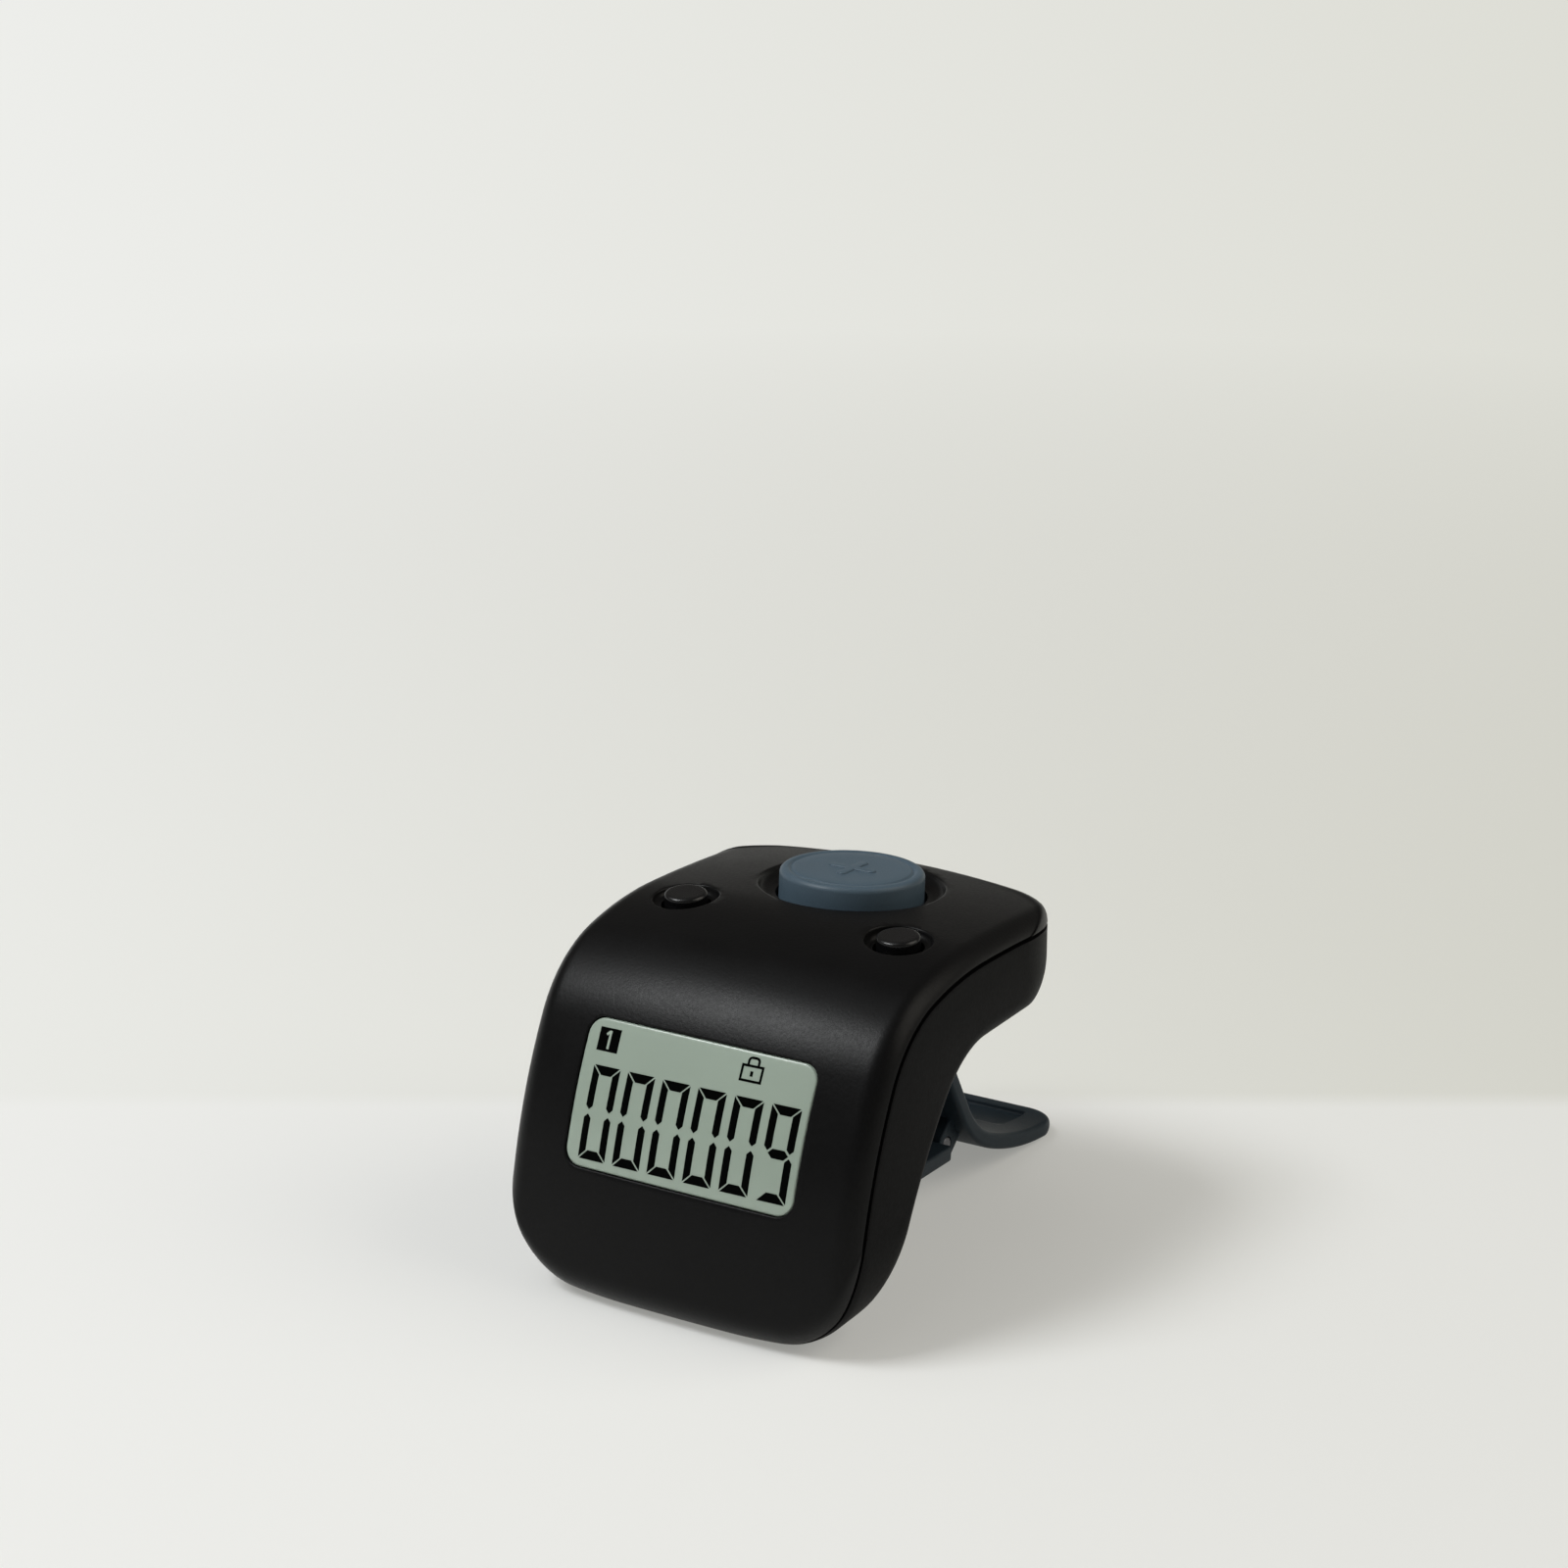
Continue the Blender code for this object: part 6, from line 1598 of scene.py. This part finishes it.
class COUNTER_OT_inside(bpy.types.Operator):
    """Give the pieces inside their finishes: boards, chip, ribbon, switches, cell, contacts and glass"""

    bl_idname = "counter.inside"
    bl_label = "Inside"

    def execute(self, context):
        sizes, colours = settings()
        brown, copper = (0.42, 0.20, 0.04), (0.60, 0.34, 0.12)
        dark, grey = (0.02, 0.02, 0.02), (0.30, 0.30, 0.31)
        coat = {"Coat_Weight": 0.4, "Coat_Roughness": 0.05}
        finishes = (
            (moulded("frame_plastic", colours.shell, 0.5, sizes.grain, 0.01 * MM), "lcd_frame"),
            (clouded("panel_glass", colours.display, 300.0, 0.8, 0.95, 0.15, 0.1, **coat), "lcd_panel"),
            (self.striped("zebra_stripes", dark, grey, 5500.0, 0.75), "zebra_strip"),
            (self.striped("ribbon_tracks", brown, copper, 1600.0, 0.35), "ribbon_cable"),
            (self.board("display_board_mask"), "display_board"),
            (self.board("button_board_mask"), "button_board"),
            (moulded("chip_epoxy", (0.02, 0.02, 0.022), 0.5, 0.06 * MM, 0.004 * MM), "controller_chip"),
            (metal("cell_steel", (0.58, 0.58, 0.59), 0.22, 5000.0), "coin_cell"),
            (
                metal("contact_brass", (0.72, 0.60, 0.34), 0.28),
                "count_switch", "left_switch", "right_switch", "contact_negative", "contact_positive",
            ),
            (metal("bracket_screw_steel", (0.45, 0.45, 0.46), 0.3), "bracket_screw_1", "bracket_screw_2"),
        )
        for material, *names in finishes:
            for name in names:
                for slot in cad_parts[name].material_slots:
                    slot.material = material
        return {"FINISHED"}

    def striped(self, name, dark, light, lines, roughness):
        """Even stripes across X."""
        graph = Graph(name)
        inputs = {"Vector": graph.place(), "Scale": lines / 10, "Distortion": 0.0}
        wave = graph.add("ShaderNodeTexWave", {"bands_direction": "X"}, inputs, "Fac")
        line = graph.ramp(wave, (0.45, 0.0), (0.55, 1.0))
        return graph.paint(Base_Color=graph.mix(line, dark, light), Roughness=roughness + line * 0.05)

    def board(self, name):
        """Solder mask over copper: lighter tracks between square cells, under a satin green."""
        graph = Graph(name, Coat_Weight=0.3, Coat_Roughness=0.2)
        cells = graph.add(
            "ShaderNodeTexVoronoi", {"distance": "CHEBYCHEV", "feature": "F1"},
            {"Vector": graph.place(), "Scale": 700.0}, "Distance",
        )
        track = graph.ramp(cells, (0.42, 0.0), (0.48, 1.0))
        return graph.paint(
            Base_Color=graph.mix(track, (0.012, 0.085, 0.032), (0.035, 0.17, 0.070)),
            Roughness=0.42 + track * 0.08,
            Normal=graph.bump(track, 0.00002),
        )


# Stage


class COUNTER_OT_stage(bpy.types.Operator):
    """Set the floor with its rising rim, the lamps, the surround and the camera"""

    bl_idname = "counter.stage"
    bl_label = "Stage"

    def execute(self, context):
        scene = context.scene
        angle = np.arange(128) * FULL_TURN / 128
        radius = np.array(FLOOR_RADII)[:, None]
        height = np.broadcast_to(np.array(FLOOR_HEIGHTS)[:, None], (len(FLOOR_HEIGHTS), len(angle)))
        rings = np.stack([radius * np.cos(angle), radius * np.sin(angle), height], -1)
        mesh = ring_mesh("floor", rings, (0,))
        mesh.polygons.foreach_set("use_smooth", np.ones(len(mesh.polygons), dtype=bool))
        mesh.materials.append(self.floor_finish(settings()[1]))
        added("floor", mesh)

        for lamp in LAMPS:
            self.lamp(*lamp)
        world = bpy.data.worlds.new("surround")
        world.use_nodes = True
        background = world.node_tree.nodes["Background"]
        background.inputs["Color"].default_value = SURROUND
        background.inputs["Strength"].default_value = SURROUND_LEVEL
        scene.world = world
        scene.view_settings.view_transform = "Standard"

        lens = bpy.data.cameras.new("photo_camera")
        lens.lens = CAMERA_LENS
        lens.sensor_width = SENSOR_WIDTH
        lens.sensor_fit = "HORIZONTAL"
        lens.clip_start = 10 * MM
        camera = added("photo_camera", lens)
        camera.location = CAMERA_PLACE
        camera.rotation_euler = (RIGHT_ANGLE - CAMERA_PITCH, 0.0, CAMERA_AZIMUTH)
        scene.camera = camera
        return {"FINISHED"}

    def floor_finish(self, colours):
        """Pale matt floor whose far part, past a soft line behind the counter, has the backdrop's tone.

        Its far tone carries painted shade that darkens and warms it towards the right, as if lit less by the
        lamps on the left. Seen by the camera, in reflections or through the lens, it also glows at that tone,
        the more so with the distance from the counter.
        """
        graph = Graph("floor_paint", Specular_IOR_Level=0.1)
        inputs = {"Vector": graph.place(), "Rotation": (0.0, 0.0, CAMERA_AZIMUTH)}
        place = graph.add("ShaderNodeMapping", {"vector_type": "TEXTURE"}, inputs)
        across = graph.add("ShaderNodeSeparateXYZ", None, {"Vector": place}, "X")
        ahead = graph.add("ShaderNodeSeparateXYZ", None, {"Vector": place}, "Y")
        reach = graph.add("ShaderNodeVectorMath", {"operation": "LENGTH"}, {0: place}, "Value")
        line = graph.ramp(ahead, *BACKDROP_LINE)
        cloud = graph.noise(9.0, 2.0)
        # Painted shade: the far tone darkens towards the right by a fan across the view, as if lit less from
        # the left, and the glow takes the same shaded tone
        shade_fan = across / (reach + 0.28) * 2.0 + 0.5
        wall, floor = colours.wall, colours.floor
        painted_shade = tuple(channel * share for channel, share in zip(wall, BACKDROP_PAINTED_SHADE))
        far = graph.mix(shade_fan, shade(wall, 1.0), painted_shade)
        near = graph.mix(cloud, shade(floor, 0.995), shade(floor, 1.005))
        surface = graph.paint(Base_Color=graph.mix(line, near, far), Roughness=0.85 + cloud * 0.05)

        camera, glossy, through = (
            graph.add("ShaderNodeLightPath", output=f"Is {ray} Ray") for ray in RAYS
        )
        fade = graph.ramp(reach, *BACKDROP_GLOW)
        glow = graph.add("ShaderNodeEmission", None, {"Color": far, "Strength": 1.0}, "Emission")
        paint = Wire(graph, graph.surface.outputs[0])
        inputs = {"Fac": fade * (camera + glossy + through), 1: paint, 2: glow}
        both = graph.add("ShaderNodeMixShader", None, inputs, "Shader")
        graph.feed(graph.tree.nodes["Material Output"].inputs["Surface"], both)
        return surface

    def lamp(self, name, place, width, power, colour):
        """Soft square lamp that looks at the counter."""
        light = bpy.data.lights.new(name, "AREA")
        light.size = width
        light.energy = power
        light.color = colour
        made = added(name, light)
        made.location = place
        aim = Vector(LAMP_AIM) - Vector(place)
        made.rotation_euler = aim.to_track_quat("-Z", "Y").to_euler()


OPERATORS = (
    COUNTER_OT_shells,
    COUNTER_OT_door,
    COUNTER_OT_keys,
    COUNTER_OT_display,
    COUNTER_OT_clip,
    COUNTER_OT_screws,
    COUNTER_OT_inside,
    COUNTER_OT_stage,
)


class COUNTER_PT_sidebar(bpy.types.Panel):
    """Sizes, colours and the pieces of the counter"""

    bl_label = "Finger counter"
    bl_idname = "COUNTER_PT_sidebar"
    bl_space_type = "VIEW_3D"
    bl_region_type = "UI"
    bl_category = "Counter"

    def draw(self, context):
        for group in (context.scene.counter_sizes, context.scene.counter_colours):
            box = self.layout.box()
            for name in group.__annotations__:
                box.prop(group, name)
        for operator in OPERATORS:
            self.layout.operator(operator.bl_idname)


CLASSES = (CounterSizes, CounterColours, *OPERATORS, COUNTER_PT_sidebar)


def register():
    """Make the operators, the panel and the settings known."""
    for item in CLASSES:
        bpy.utils.register_class(item)
    bpy.types.Scene.counter_sizes = bpy.props.PointerProperty(type=CounterSizes)
    bpy.types.Scene.counter_colours = bpy.props.PointerProperty(type=CounterColours)


def unregister():
    """Take back what register added."""
    del bpy.types.Scene.counter_sizes
    del bpy.types.Scene.counter_colours
    for item in reversed(CLASSES):
        bpy.utils.unregister_class(item)


def main():
    """Build every piece and the stage."""
    register()
    bpy.ops.counter.shells()
    bpy.ops.counter.door()
    bpy.ops.counter.keys()
    bpy.ops.counter.display()
    bpy.ops.counter.clip()
    bpy.ops.counter.screws()
    bpy.ops.counter.inside()
    bpy.ops.counter.stage()


if __name__ == "__main__":
    main()
